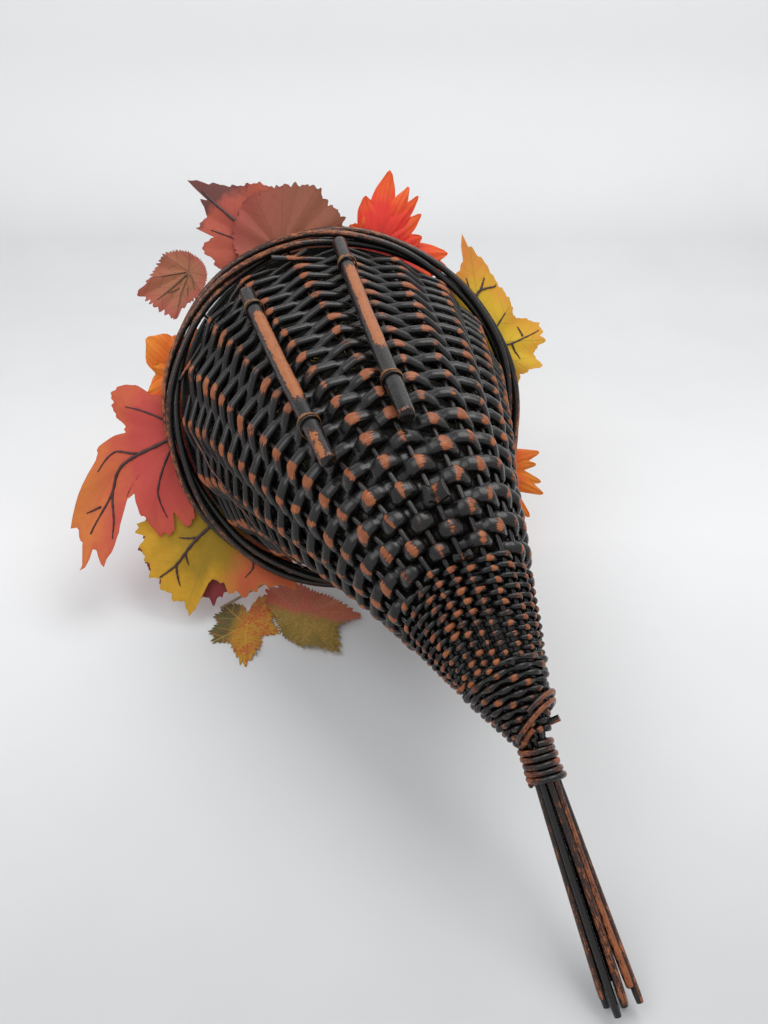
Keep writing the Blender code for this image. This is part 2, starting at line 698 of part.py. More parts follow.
for name, (kind, size_share, across, up, heading, layer, stalk, colour) in leaves.items():
    degrees, shares = (maple_degrees, maple_shares) if kind == "maple" else (grape_degrees, grape_shares)
    sheet(name, full_outline(degrees, shares, stalk), LEAF_LENGTH * size_share,
          mouth_spot(across, up, heading, layer), colour)
flowers = {
    "flower_top": (9, 1.08, 0.54, 0.83, 22, 2, scarlet),
    "flower_left": (8, 0.96, -0.80, 0.46, -30, 1, orange),
    "flower_right": (8, 0.96, 0.70, -0.62, 128, 0, orange),
}
for name, (petals, size_share, across, up, heading, layer, colour) in flowers.items():
    sheet(name, flower_outline(petals), FLOWER_RADIUS * size_share,
          mouth_spot(across, up, heading, layer), colour)


def table_spot(across_share, reach_share, heading, layer):
    """Places a sheet flat on the table under the mouth."""
    start = np.array([mouth_half_width * across_share, HORN_REACH * reach_share])
    way = np.array([math.sin(math.radians(heading)), math.cos(math.radians(heading))])
    side = np.array([way[1], -way[0]])
    stand = LEAF_THICK / 2 + layer * LEAF_STEP

    def spot(along, sideways):
        flat = start + way * along + side * sideways
        x = flat[0] * math.cos(ROLL) + stand * math.sin(ROLL)
        return np.array([x, flat[1], table_height(x) + stand * math.cos(ROLL)])
    return spot


sheet("leaf_small_left", full_outline(grape_degrees, grape_shares, 0.30), SMALL_LEAF,
      table_spot(-1.14, 0.640, 190, 0), olive)
sheet("leaf_small_right", full_outline(grape_degrees, grape_shares, 0.30), SMALL_LEAF * 1.15,
      table_spot(-0.90, 0.610, 122, 1), olive)
sheet("flower_low", flower_outline(9), FLOWER_RADIUS * 1.05, table_spot(0.05, 0.655, 200, 0), orange)

# Stems: thin wires from the ring over the border to what lies on the table
table_normal = np.array([math.sin(ROLL), 0.0, math.cos(ROLL)])
stems = {
    "stem_small_leaves": {"ring_share": 0.60, "table": (-1.14, 0.640), "beside": 1.0},
    "stem_flower_low": {"ring_share": 0.50, "table": (0.05, 0.655), "beside": 0.0},
}
for name, stem in stems.items():
    on_ring = ring_line[round(stem["ring_share"] * RING_POINTS)]
    x, y = mouth_half_width * stem["table"][0], HORN_REACH * stem["table"][1]
    on_table = np.array([x, y, table_height(x)]) + table_normal * LEAF_THICK
    way = unit(on_table - on_ring)
    stand = RING_D / 2 + GAP + STEM_D / 2 * stem["beside"]
    start = on_ring + (mouth_out if stem["beside"] else way) * stand
    droop = math.sqrt(1 - float(way @ table_normal) ** 2)
    end = on_table + table_normal * (GAP + STEM_D / 2 * droop)
    tube(name, [start, end], STEM_D, brown)

# Set the basket down: roll it as it lies, lowest point on the table, middle at the origin
frame.rotation_euler = (0.0, -ROLL, 0.0)
bpy.context.view_layer.update()
graph = bpy.context.evaluated_depsgraph_get()
corners = np.concatenate([solid_mesh(made, graph)[0] for made in parts.objects if made.type != "EMPTY"])
low_corner, high_corner = corners.min(axis=0), corners.max(axis=0)
frame.location = (-(low_corner[0] + high_corner[0]) / 2, -(low_corner[1] + high_corner[1]) / 2, -low_corner[2])
print("collar centre at", [round(value, 4) for value in frame.location])
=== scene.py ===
import math
import re
import bpy
import numpy as np
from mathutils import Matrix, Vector


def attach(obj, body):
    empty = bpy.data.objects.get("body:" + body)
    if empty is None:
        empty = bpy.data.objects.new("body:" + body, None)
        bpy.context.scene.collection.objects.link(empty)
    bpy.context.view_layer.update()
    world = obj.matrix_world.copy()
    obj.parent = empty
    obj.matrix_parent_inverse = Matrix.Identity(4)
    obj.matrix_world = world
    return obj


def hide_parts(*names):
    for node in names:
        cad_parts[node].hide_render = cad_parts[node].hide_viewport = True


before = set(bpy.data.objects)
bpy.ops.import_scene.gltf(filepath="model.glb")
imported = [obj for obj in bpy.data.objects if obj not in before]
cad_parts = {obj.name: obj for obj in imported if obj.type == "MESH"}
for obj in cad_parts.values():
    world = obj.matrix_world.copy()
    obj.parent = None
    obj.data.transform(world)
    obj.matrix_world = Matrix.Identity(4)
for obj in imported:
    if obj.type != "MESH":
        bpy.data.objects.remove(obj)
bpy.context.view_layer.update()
bpy.context.scene.view_settings.view_transform = "Standard"
print("frame loaded,", len(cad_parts), "nodes")

# The horn as it was built, in its own frame: +Y to the mouth, +Z to the feet.
horn = {
    "reach": 0.294, "height": 0.145, "mouthWidth": 0.188,
    "topReach": (1.000, 0.881, 0.731, 0.588, 0.449, 0.312, 0.193, 0.091),
    "topRise": (0.735, 0.715, 0.687, 0.659, 0.624, 0.549, 0.411, 0.249),
    "lowReach": (0.571, 0.517, 0.473, 0.415, 0.350, 0.279, 0.204, 0.122),
    "lowRise": (-0.275, -0.117, -0.066, -0.047, -0.035, -0.012, 0.012, 0.030),
    "halfWidth": (1.000, 0.888, 0.773, 0.653, 0.515, 0.395, 0.283, 0.178),
    "roll": math.radians(10.4), "collarHeight": 0.0618,
    "place": (0.017657, -0.128765, 0.061813),      # the collar's middle in the scene
}
stakes = {"main": 9, "extra": 10, "diameter": 0.0024, "bends": 12, "gatherFrom": 4.0, "gatherOver": 2.5}
tail = {
    "reach": 0.0700, "sway": 0.0070, "fanWidth": 0.0160, "fanHeight": 0.0088,
    "tips": (0.00, -0.05, 0.03, -0.02, 0.05, -0.06, 0.02, -0.03, 0.04),
    "collarLength": 0.016, "gap": 0.0003, "stick": 0.0032, "closed": 0.80,
    "nudge": (0.0, 0.0, 0.0, 0.0, -0.0010, 0.0005, 0.0, 0.0, 0.0005),
    "worn": (0.58, 0.74, 0.60, 0.18, 0.30, 0.20, 0.22, 0.56, 0.24),
}
dice = np.random.default_rng(11)


def unit(v):
    return v / np.linalg.norm(v, axis=-1, keepdims=True)


def through(table, place):     # a smooth curve through a table of stations
    table = np.asarray(table, float)
    place = np.clip(np.asarray(place, float), 0.0, len(table) - 1)
    low = np.minimum(np.floor(place).astype(int), len(table) - 2)
    part = place - low
    padded = np.concatenate([[2 * table[0] - table[1]], table, [2 * table[-1] - table[-2]]])
    a, b, c, d = padded[low], padded[low + 1], padded[low + 2], padded[low + 3]
    if table.ndim > 1:
        part = part[..., None]
    return 0.5 * (2 * b + (c - a) * part + (2 * a - 5 * b + 4 * c - d) * part ** 2
                  + (3 * b - a - 3 * c + d) * part ** 3)


rollCos, rollSin = math.cos(horn["roll"]), math.sin(horn["roll"])
rolled = np.array([[rollCos, 0.0, -rollSin], [0.0, 1.0, 0.0], [rollSin, 0.0, rollCos]])


def tableHeight(x):
    return -(horn["collarHeight"] + rollSin * x) / rollCos


def toScene(points):           # from the horn's frame to the table it lies on
    return np.asarray(points) @ rolled.T + np.array(horn["place"])


def fromScene(points):
    return (np.asarray(points) - np.array(horn["place"])) @ rolled


stakeCount = stakes["main"] + stakes["extra"]
mainStakes = [2 * index for index in range(stakes["main"])]
pairs = stakes["main"] - 1
tailTurns = [stake / (2 * stakes["main"]) if stake <= 2 * pairs else
             (pairs + (stake - 2 * pairs) / (stakeCount - 2 * pairs)) / stakes["main"]
             for stake in range(stakeCount)]


def tailWays(end):
    axis = unit(end)
    across = unit(np.cross(axis, [0.0, 0.0, 1.0]))
    across = across * np.sign(across[0])
    upright = unit(np.cross(across, axis))
    return axis, across, upright * np.sign(upright[2])


def tailTips(end):
    axis, across, upright = tailWays(end)
    turns = [2 * math.pi * tailTurns[stake] for stake in mainStakes]
    return [end * (1 + share) + across * math.sin(t) * tail["fanWidth"] / 2
            + upright * math.cos(t) * tail["fanHeight"] / 2 for t, share in zip(turns, tail["tips"])]


tailEnd = np.array([-tail["sway"], -tail["reach"], tableHeight(-tail["sway"])])
for _ in range(6):             # let the lowest tip down on the table
    tipRadius = stakes["diameter"] / 2 * math.hypot(*unit(tailEnd)[:2])
    lowest = min((tip[2] - tableHeight(tip[0])) * rollCos for tip in tailTips(tailEnd))
    tailEnd[2] += tipRadius - lowest
tailAxis, tailAcross, tailUp = tailWays(tailEnd)
bundle = (stakes["diameter"] + tail["gap"]) / (2 * math.sin(math.pi / stakes["main"]))
collarTop = -tailAxis * tail["collarLength"] / 2

tops = [(0.0, horn["reach"] * a, horn["height"] * b) for a, b in zip(horn["topReach"], horn["topRise"])]
lows = [(0.0, horn["reach"] * a, horn["height"] * b) for a, b in zip(horn["lowReach"], horn["lowRise"])]
sides = [(horn["mouthWidth"] / 2 * a, 0.0, 0.0) for a in horn["halfWidth"]]
tops.append(tuple(collarTop + tailUp * bundle))
lows.append(tuple(collarTop - tailUp * bundle))
sides.append(tuple(tailAcross * bundle))
lastStation = len(tops) - 1
tiny = 1e-3                    # a small step along or round the horn


def wall(station, angle):
    station, angle = np.broadcast_arrays(np.asarray(station, float), np.asarray(angle, float))
    top, low, side = through(tops, station), through(lows, station), through(sides, station)
    turn = angle[..., None]
    return (top + low) / 2 + (top - low) / 2 * np.cos(turn) + side * np.sin(turn)


def outward(station, angle):
    station, angle = np.broadcast_arrays(np.asarray(station, float), np.asarray(angle, float))
    around = wall(station, angle + tiny) - wall(station, angle - tiny)
    along = wall(np.minimum(station + tiny, lastStation), angle) - wall(np.maximum(station - tiny, 0.0), angle)
    return unit(np.cross(along, around))


def surface(station, angle, offset):
    return wall(station, angle) + outward(station, angle) * np.asarray(offset)[..., None]


fineStations = np.linspace(0.0, lastStation, 801)


def lengthAlong(path):
    return np.concatenate([[0.0], np.cumsum(np.linalg.norm(np.diff(path, axis=0), axis=1))])


def arcTo(angle):
    return lengthAlong(wall(fineStations, np.full(len(fineStations), angle)))


def stationAtDepth(angle, depth):
    return float(np.interp(depth, arcTo(angle), fineStations))


def stakeAngle(stake, station):
    blend = np.clip((np.asarray(station, float) - stakes["gatherFrom"]) / stakes["gatherOver"], 0.0, 1.0)
    blend = blend * blend * (3 - 2 * blend)
    return 2 * math.pi * ((1 - blend) * stake / stakeCount + blend * tailTurns[stake])


stakeKnots = np.linspace(0.0, lastStation, stakes["bends"] + 1)
stakeLines = [wall(stakeKnots, stakeAngle(stake, stakeKnots)) for stake in range(stakeCount)]


def stakePoint(stake, station):
    return np.stack([np.interp(station, stakeKnots, stakeLines[stake][:, axis]) for axis in range(3)], axis=-1)


class Wire:                    # a shader socket that adds and multiplies like a number
    def __init__(self, finish, socket):
        self.finish, self.socket = finish, socket

    def maths(self, kind, *other, flip=False):
        inputs = (*other, self) if flip else (self, *other)
        return self.finish.node("ShaderNodeMath", {"operation": kind}, dict(enumerate(inputs)))

    def __add__(self, other): return self.maths("ADD", other)
    def __radd__(self, other): return self.maths("ADD", other)
    def __sub__(self, other): return self.maths("SUBTRACT", other)
    def __rsub__(self, other): return self.maths("SUBTRACT", other, flip=True)
    def __mul__(self, other): return self.maths("MULTIPLY", other)

    def step(self, low, high):  # 0 below low, 1 above high
        return self.finish.node("ShaderNodeMapRange", {"clamp": True}, {0: self, 1: low, 2: high, 3: 0.0, 4: 1.0})


class Finish:                  # one material and the nodes in it
    def __init__(self, name, roughness=0.5):
        self.material = bpy.data.materials.new(name)
        self.material.use_nodes = True
        self.tree = self.material.node_tree
        self.shader = self.tree.nodes["Principled BSDF"]
        self.shader.inputs["Roughness"].default_value = roughness
        self.place = self.node("ShaderNodeTexCoord", output="Object")
        self.map = self.node("ShaderNodeUVMap", {"uv_map": "along"})

    def node(self, kind, settings=None, values=None, output=0):
        made = self.tree.nodes.new(kind)
        for key, value in (settings or {}).items():
            if key == "stops":
                for index, (spot, colour) in enumerate(value):
                    stop = made.color_ramp.elements[index] if index < 2 else made.color_ramp.elements.new(spot)
                    stop.position, stop.color = spot, (*colour, 1.0)
            else:
                setattr(made, key, value)
        for key, value in (values or {}).items():
            if isinstance(value, Wire):
                self.tree.links.new(value.socket, made.inputs[key])
            else:
                made.inputs[key].default_value = value
        return Wire(self, made.outputs[output])

    def spread(self, name):    # a value stored on the mesh
        return self.node("ShaderNodeAttribute", {"attribute_name": name}, output="Fac")

    def noise(self, scale, detail=2.0, rough=0.5, where=None, stretch=None):
        where = where or self.place
        if stretch:
            where = self.node("ShaderNodeMapping", {}, {0: where, "Scale": stretch})
        return self.node("ShaderNodeTexNoise", {}, {"Vector": where, "Scale": scale, "Detail": detail,
                                                    "Roughness": rough})

    def mix(self, factor, first, second):
        first = first if isinstance(first, Wire) else (*first, 1.0)
        second = second if isinstance(second, Wire) else (*second, 1.0)
        return self.node("ShaderNodeMix", {"data_type": "RGBA"}, {0: factor, 6: first, 7: second}, output=2)

    def ramp(self, factor, stops):
        return self.node("ShaderNodeValToRGB", {"stops": stops}, {0: factor})

    def set(self, name, value):
        if isinstance(value, Wire):
            self.tree.links.new(value.socket, self.shader.inputs[name])
        else:
            self.shader.inputs[name].default_value = value

    def sets(self, **values):  # the shader's own names, with _ for a space
        for name, value in values.items():
            self.set(name.replace("_", " "), value)

    def bump(self, height, depth, strength=1.0):
        self.set("Normal", self.node("ShaderNodeBump", {}, {"Height": height, "Distance": depth,
                                                            "Strength": strength}))


lacquer = {
    "black": (0.0060, 0.0070, 0.0072), "brownBlack": (0.0115, 0.0080, 0.0065),
    "copper": (0.300, 0.080, 0.022), "tan": (0.46, 0.150, 0.045), "rust": (0.080, 0.020, 0.007),
    "gloss": 0.27, "rubbedGloss": 0.55, "patch": 230.0, "speckle": 1100.0,
}


def lacqueredWillow(name, rub, tan=0.5, speckled=0.35, bare=(lacquer["copper"], lacquer["tan"])):
    made = Finish(name, lacquer["gloss"])
    wear = made.spread("wear")
    patch = made.noise(lacquer["patch"], 4.0, 0.6)
    speckle = made.noise(lacquer["speckle"], 3.0, 0.7)
    streak = made.noise(1.0, 4.0, 0.65, where=made.map, stretch=(2.6, 20.0, 1.0))
    ragged = wear + (patch - 0.5) * 0.65 + (streak - 0.5) * 1.25
    worn = (ragged + (speckle - 0.5) * speckled).step(rub, rub + 0.10)
    halo = ragged.step(rub - 0.24, rub)
    black = made.mix(made.noise(60.0, 2.0), lacquer["black"], lacquer["brownBlack"])
    rubbed = made.mix((streak + (patch - 0.5) * 0.7).step(1.0 - tan, 1.25 - tan), *bare)
    edge = made.mix(halo * 0.6, black, lacquer["rust"])
    made.sets(Base_Color=made.mix(worn, edge, rubbed), Specular_IOR_Level=0.38, Coat_Weight=0.26, Coat_Roughness=0.13,
              Roughness=lacquer["gloss"] + worn * (lacquer["rubbedGloss"] - lacquer["gloss"]) + (speckle - 0.5) * 0.12)
    made.bump(streak * 0.6 + speckle * 0.3 - worn * 0.35, 0.00022, 0.8)
    return made.material


def pick(made):                # what the next operators work on
    bpy.ops.object.select_all(action="DESELECT")
    bpy.context.view_layer.objects.active = made
    made.select_set(True)


def faceOut(made):
    pick(made)
    bpy.ops.object.mode_set(mode="EDIT")
    bpy.ops.mesh.select_all(action="SELECT")
    bpy.ops.mesh.normals_make_consistent(inside=False)
    bpy.ops.object.mode_set(mode="OBJECT")


def thicken(made, thick, sharp=60.0):
    pick(made)
    shell = made.modifiers.new("shell", "SOLIDIFY")
    shell.thickness, shell.offset = thick, 0.0
    bpy.ops.object.modifier_apply(modifier=shell.name)
    made.data.shade_smooth()
    if sharp:
        made.data.set_sharp_from_angle(angle=math.radians(sharp))


def build(name, verts, faces, corners=None, values=None, smooth=False):
    # corners is a uv for each corner of a face, values are numbers for each point
    data = bpy.data.meshes.new(name)
    data.from_pydata(np.asarray(verts).tolist(), [], faces)
    if corners is not None:
        data.uv_layers.new(name="along").data.foreach_set("uv", np.array(corners).ravel())
    for key, numbers in (values or {}).items():
        data.attributes.new(key, "FLOAT", "POINT").data.foreach_set("value", np.asarray(numbers))
    if smooth:
        data.shade_smooth()
    made = bpy.data.objects.new(name, data)
    bpy.context.scene.collection.objects.link(made)
    return made


def steps(count):
    return [(index, index + 1) for index in range(count - 1)]


def tube(rings, around, first=0):      # faces between rings of points
    return [(first + a * around + j, first + a * around + (j + 1) % around,
             first + b * around + (j + 1) % around, first + b * around + j) for a, b in rings for j in range(around)]


def nodeOf(name):              # leafTopGrape stands for leaf_top_grape, and stakeMain1 for stake_main_1
    return re.sub(r"[A-Z]|\d+", lambda part: "_" + part.group().lower(), name)


def keep(piece, finish, slot, *nodes):
    piece.data.materials.clear()
    piece.data.materials.append(finish)
    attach(piece, "root")
    if nodes:
        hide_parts(*nodes)


def circle(count):
    return [(math.cos(t), math.sin(t)) for t in np.linspace(0, 2 * math.pi, count, endpoint=False)]


def facingOut(profile):        # 1 on the outer side of a section, where it rubs
    return np.clip(np.array(profile)[:, 1] * 0.8 + 0.55, 0.0, 1.0)


roundProfile, footProfile = circle(10), circle(28)
splitProfile = [(-0.97, -0.80), (0.0, -1.0), (0.97, -0.80), (1.0, -0.25), (0.88, 0.40), (0.58, 0.82),
                (0.20, 1.0), (-0.20, 1.0), (-0.58, 0.82), (-0.88, 0.40), (-1.0, -0.25)]
uvScale = 100                  # the streaks are drawn in centimetres


def loft(name, path, across, outs, widths, thicks, wear, profile, closed=False):
    # a run of sections along a path, with its length and wear stored on the mesh
    path, wear, shape = np.asarray(path), np.asarray(wear, float), np.array(profile)
    count, around = len(path), len(shape)
    widths, thicks = np.broadcast_to(widths, count), np.broadcast_to(thicks, count)
    corners = (path[:, None] + across[:, None] * (widths[:, None] / 2 * shape[:, 0])[..., None]
               + outs[:, None] * (thicks[:, None] / 2 * shape[:, 1])[..., None])
    rings = steps(count) + ([(count - 1, 0)] if closed else [])
    caps = [] if closed else [tuple(range(around))[::-1], tuple(range((count - 1) * around, count * around))]
    length = lengthAlong(path) * uvScale
    lap = length[-1] + np.linalg.norm(path[0] - path[-1]) * uvScale
    spots = []
    for a, b in rings:
        far = lap if b < a else length[b]
        for j in range(around):
            here, there = j / around, (j + 1) / around
            spots += [(length[a], here), (length[a], there), (far, there), (far, here)]
    for end in (0, -1) if caps else ():
        spots += [(length[end], 0.5)] * around
    spread = (wear[:, None] * facingOut(profile)).ravel() if wear.ndim == 1 else wear.ravel()
    made = build(name, toScene(corners.reshape(-1, 3)), tube(rings, around) + caps, spots, {"wear": spread}, True)
    faceOut(made)
    if caps:
        made.data.set_sharp_from_angle(angle=math.radians(55))
    return made


def frames(path, outs, closed=False):   # square the sections to a path
    path = np.asarray(path)
    if closed:
        along = unit(np.roll(path, -1, axis=0) - np.roll(path, 1, axis=0))
    else:
        along = unit(np.gradient(path, axis=0))
    across = unit(np.cross(along, outs))
    return across, np.cross(across, along)


def rod(name, path, outs, width, thick, wear, finish, slot="lacquered_willow", closed=False, node=None, alone=False):
    # alone is for a form that the CAD doesn't have
    across, outs = frames(path, outs, closed)
    piece = loft(name, path, across, outs, width, thick, wear, roundProfile, closed)
    keep(piece, finish, slot, *([] if alone else [node or nodeOf(name)]))


# Weaving: every row goes out round one stake and in round the next.
weave = {
    "rowGap": 0.0008, "borderDepth": 0.0130, "layDown": 0.0040, "jitter": 0.05,
    "wide": {"rows": 30, "end": 5.25, "pieces": 5, "width": (0.0042, 0.0084), "thick": (0.0026, 0.0031),
             "bend": 0.0030},
    "broad": {"rows": 4, "end": 5.95, "width": 0.0080, "thick": 0.0030, "bend": 0.0030},
    "fine": {"rows": 20, "end": 7.10, "pieces": 2, "width": 0.0034, "thick": 0.0021, "bend": 0.0021},
    "neck": {"turns": 10, "steps": 76, "lead": 24, "end": 8.0, "cane": 0.0026, "bumps": 9.5, "bump": 0.0017,
             "back": 0.02, "tuck": 0.0016, "bedded": 0.0002},
    "packed": ((-7, 0, 0.0034), (-22, -13, 0.0024)),     # under the border: first stake, last stake, width
    "clear": 0.0001, "loose": 0.0002, "drift": 0.05, "least": 0.0016, "bendShare": 0.42, "packThick": 0.0021,
}
rubs = {                       # where lacquer is rubbed off, as shares of the gap between stakes
    "strength": (0.62, 1.16), "inside": 0.35, "seldom": 0.15, "stub": 0.10, "long": (0.16, 0.40),
    "short": (0.06, 0.13), "peak": (-0.09, 0.02), "slant": (-0.1, 0.75), "thin": 1.6, "outerFrom": -0.020,
}
# sections at each crossing: the spot on the bend, and the share of the straight run beside it
crownSteps = ((0, -0.40), (0, -0.20), (0, -0.07), (0, 0), (0.22, 0), (0.42, 0), (0.58, 0), (0.78, 0), (1, 0),
              (1, 0.08), (1, 0.25), (1, 0.50))
firstRow = max(stationAtDepth(angle, weave["borderDepth"] + weave["rowGap"] + weave["layDown"] / 2)
               for angle in np.linspace(0.0, 2 * math.pi, 24, endpoint=False))
topArc = arcTo(0.0)


def rowsBetween(start, end, rows, first, last):
    weights = np.linspace(first, last, rows)
    ends = np.interp([start, end], fineStations, topArc)
    arcs = ends[0] + (ends[1] - ends[0]) * np.concatenate([[0.0], np.cumsum(weights)]) / weights.sum()
    return np.interp(arcs, topArc, fineStations)


wide, broad, fine, neckWind = weave["wide"], weave["broad"], weave["fine"], weave["neck"]
allRows = np.concatenate([rowsBetween(firstRow, wide["end"], wide["rows"], 0.8, 1.2),
                          rowsBetween(wide["end"], broad["end"], broad["rows"], 1.1, 0.9)[1:],
                          rowsBetween(broad["end"], fine["end"], fine["rows"], 1.1, 0.9)[1:]])
rowTotal = len(allRows) - 1


def rowStation(row):           # rows below 0 fill the band up to the border
    return np.interp(row, np.arange(rowTotal + 1), allRows) + np.minimum(row, 0.0) * (allRows[1] - allRows[0])


def weaveStrand(first, last, widthAt, thickAt, bend, cover, section=splitProfile):
    index = np.arange(round(first * stakeCount), round(last * stakeCount) + 1)
    total, rows = len(index) - 1, index / stakeCount
    stations = rowStation(rows)
    crossed = index % stakeCount
    angles = np.array([stakeAngle(stake, station) for stake, station in zip(crossed, stations)])
    if first < 0:
        stations = np.maximum(stations, [stationAtDepth(a, weave["borderDepth"] + 0.0015) for a in angles])
    middles = np.array([stakePoint(stake, station) for stake, station in zip(crossed, stations)])
    faces = outward(stations, angles)
    runs = unit(np.array([stakePoint(s, station - tiny) for s, station in zip(crossed, stations)]) - middles)
    rounds = unit(wall(stations, angles + tiny) - wall(stations, angles - tiny))
    square = np.linalg.norm(np.cross(rounds, runs), axis=1)
    here = wall(stations, angles)
    ahead = np.linalg.norm(wall(rowStation(np.minimum(rows + 1, rowTotal)), angles) - here, axis=1)
    behind = np.linalg.norm(wall(rowStation(np.maximum(rows - 1, 0.0)), angles) - here, axis=1)
    pitch = np.minimum(np.where(rows + 1 > rowTotal, behind, ahead), np.where(rows - 1 < 0.0, ahead, behind))
    nominal = np.array([widthAt(row) for row in rows])
    nominal *= dice.uniform(1 - weave["jitter"], 1 + weave["jitter"], total + 1)
    widths = np.minimum(nominal, np.maximum(pitch * square * cover, weave["least"]))
    thicks = np.array([thickAt(row) for row in rows])
    sign = np.where(index % 2 == 0, 1.0, -1.0)
    lift = stakes["diameter"] / 2 + thicks / 2 + weave["clear"] + weave["loose"] * dice.random(total + 1)
    corners = middles + faces * (sign * lift)[:, None]
    corners += runs * ((pitch * weave["drift"]) * dice.uniform(-1, 1, total + 1))[:, None]
    gaps = np.linalg.norm(np.diff(corners, axis=0), axis=1)
    reach = np.minimum(bend, weave["bendShare"] * np.minimum(np.append(gaps, gaps[-1]), np.append(gaps[0], gaps)))
    back = unit(corners[:-1] - corners[1:])
    back = np.vstack([back[:1], back])
    forth = np.vstack([unit(corners[1:] - corners[:-1]), unit(corners[-1:] - corners[-2:-1])])
    flat = np.linalg.norm(back + forth, axis=1)
    corners = corners + faces * (sign * reach * flat / 4)[:, None]
    start, finish = corners + back * reach[:, None], corners + forth * reach[:, None]
    path, across, outs, breadths, heights, wear = [], [], [], [], [], []
    rub = np.where(sign > 0, 1.0, rubs["inside"]) * dice.uniform(*rubs["strength"], total + 1)
    run = np.maximum(gaps - reach[:-1] - reach[1:], 0.0002)
    straights = np.append(run[:1], run), np.append(run, run[-1:])       # straight before and after each crown
    span = np.append(gaps[0], gaps)
    stretch = rubs["thin"] if section is roundProfile else 1.0      # longer patches on the thin rods
    few = dice.random(total + 1) < rubs["seldom"]
    long = span * np.where(few, rubs["stub"], dice.uniform(*rubs["long"], total + 1)) * stretch
    short = span * dice.uniform(*rubs["short"], total + 1)
    rightwards = here[:, 0] > rubs["outerFrom"]                     # rubbed away to the outer side
    before, after = np.where(rightwards, short, long), np.where(rightwards, long, short)
    peak = span * dice.uniform(*rubs["peak"], total + 1) * np.where(rightwards, 1.0, -1.0)
    rim, facing = np.array(section)[:, 0], facingOut(section)
    slant = dice.uniform(*rubs["slant"], total + 1)[:, None] * rim  # the patch runs out on the mouth side
    for t, share in crownSteps:
        point = start * (1 - t) ** 2 + corners * 2 * t * (1 - t) + finish * t ** 2
        along = unit((corners - start) * (1 - t) + (finish - corners) * t)
        step = share * (straights[0] if share < 0 else straights[1])
        point = point + along * step[:, None]
        off = (t - 0.5) * 2 * reach * 0.95 + step
        out = unit(np.cross(along, runs))
        out = out * np.sign((out * faces).sum(axis=1))[:, None]
        path.append(point)
        across.append(unit(np.cross(along, out)))
        outs.append(out)
        breadths.append(widths * (1.05 if 0.3 < t < 0.7 else 1.0))
        heights.append(thicks)
        past = (off - peak)[:, None]
        fade = np.where(past < 0, before[:, None] * (1 + 0.5 * slant), after[:, None] * (1 - slant))
        wear.append(rub[:, None] * np.exp(-(past / fade) ** 2) * facing)
    woven = []
    for values in (path, across, outs, breadths, heights, wear):
        stacked = np.stack(values, axis=1)
        woven.append(stacked.reshape(-1, *stacked.shape[2:]))
    return woven


def lerp(ends, share):
    return ends[0] + (ends[1] - ends[0]) * min(max(share, 0.0), 1.0)


def weaver(name, woven, section=splitProfile, pieces=1, alone=False):
    # laid in lengths that each begin at an outer crossing, or in one with its ends trimmed
    total, sections = len(woven[0]), 2 * len(crownSteps)
    cuts = [sections * round(total * index / pieces / sections) for index in range(pieces)] + [total]
    for index in range(pieces):
        first, last = (cuts[index], cuts[index + 1] + 1) if pieces > 1 else (1, -1)
        title = f"{name}{index + 1}" if pieces > 1 else name
        piece = loft(title, *[v[first:last] for v in woven], section)
        keep(piece, willow, "lacquered_willow", *([] if alone else [nodeOf(title)]))


willow = lacqueredWillow("lacqueredWillow", rub=0.60)
broadEnd = wide["rows"] + broad["rows"]
weaver("weaverWide", weaveStrand(
    0, wide["rows"], lambda row: lerp(wide["width"], (row / wide["rows"]) ** 1.5),
    lambda row: lerp(wide["thick"], (row / wide["rows"]) ** 2), wide["bend"], 1.06), pieces=wide["pieces"])
weaver("weaverBroad", weaveStrand(
    wide["rows"], broadEnd, lambda row: broad["width"], lambda row: broad["thick"], broad["bend"], 1.10))
weaver("weaverFine", weaveStrand(
    broadEnd, rowTotal, lambda row: fine["width"], lambda row: fine["thick"], fine["bend"], 1.15,
    roundProfile), roundProfile, fine["pieces"])
for index, (first, last, width) in enumerate(weave["packed"]):
    weaver(f"weaverPack{index + 1}", weaveStrand(
        first / stakeCount, last / stakeCount, lambda row: width, lambda row: weave["packThick"],
        wide["bend"], 1.0), alone=True)

# Neck: a close winding over the last of the horn, and a dark lining behind it
lined = {"around": 36, "from": fine["end"] - 0.5, "to": 7.97, "knots": 14, "sunk": 0.0004}
turns = np.linspace(0.0, 2 * np.pi, lined["around"], endpoint=False)
verts = [point for knot in np.linspace(lined["from"], lined["to"], lined["knots"])
         for point in toScene(surface(np.full(lined["around"], knot), turns, -lined["sunk"]))]
keep(build("neckLining", verts, tube(steps(lined["knots"]), lined["around"])), willow, "lacquered_willow")
t = np.arange(-neckWind["lead"], neckWind["turns"] * neckWind["steps"] + 1) / neckWind["steps"]
spots = fine["end"] - neckWind["back"] + (neckWind["end"] - fine["end"] - neckWind["back"]) * t / neckWind["turns"]
crown = (0.5 + 0.5 * np.cos(2 * np.pi * neckWind["bumps"] * t)) * np.clip(t * 4 + 0.5, 0.0, 1.0)
sunk = neckWind["tuck"] * np.clip(-t * 5, 0.0, 1.0)  # the end goes in under the rows
path = surface(spots, 2 * np.pi * t, stakes["diameter"] / 2 - neckWind["bedded"] + neckWind["bump"] * crown
               - sunk)
swell = neckWind["cane"] * (0.86 + 0.20 * crown)
rod("weaverNeck", path, outward(spots, 2 * np.pi * t), swell, swell * 0.95,
    0.90 * crown ** 3 * (0.68 + 0.32 * np.sin(t * 23)), willow, alone=True)
print("weaving done")

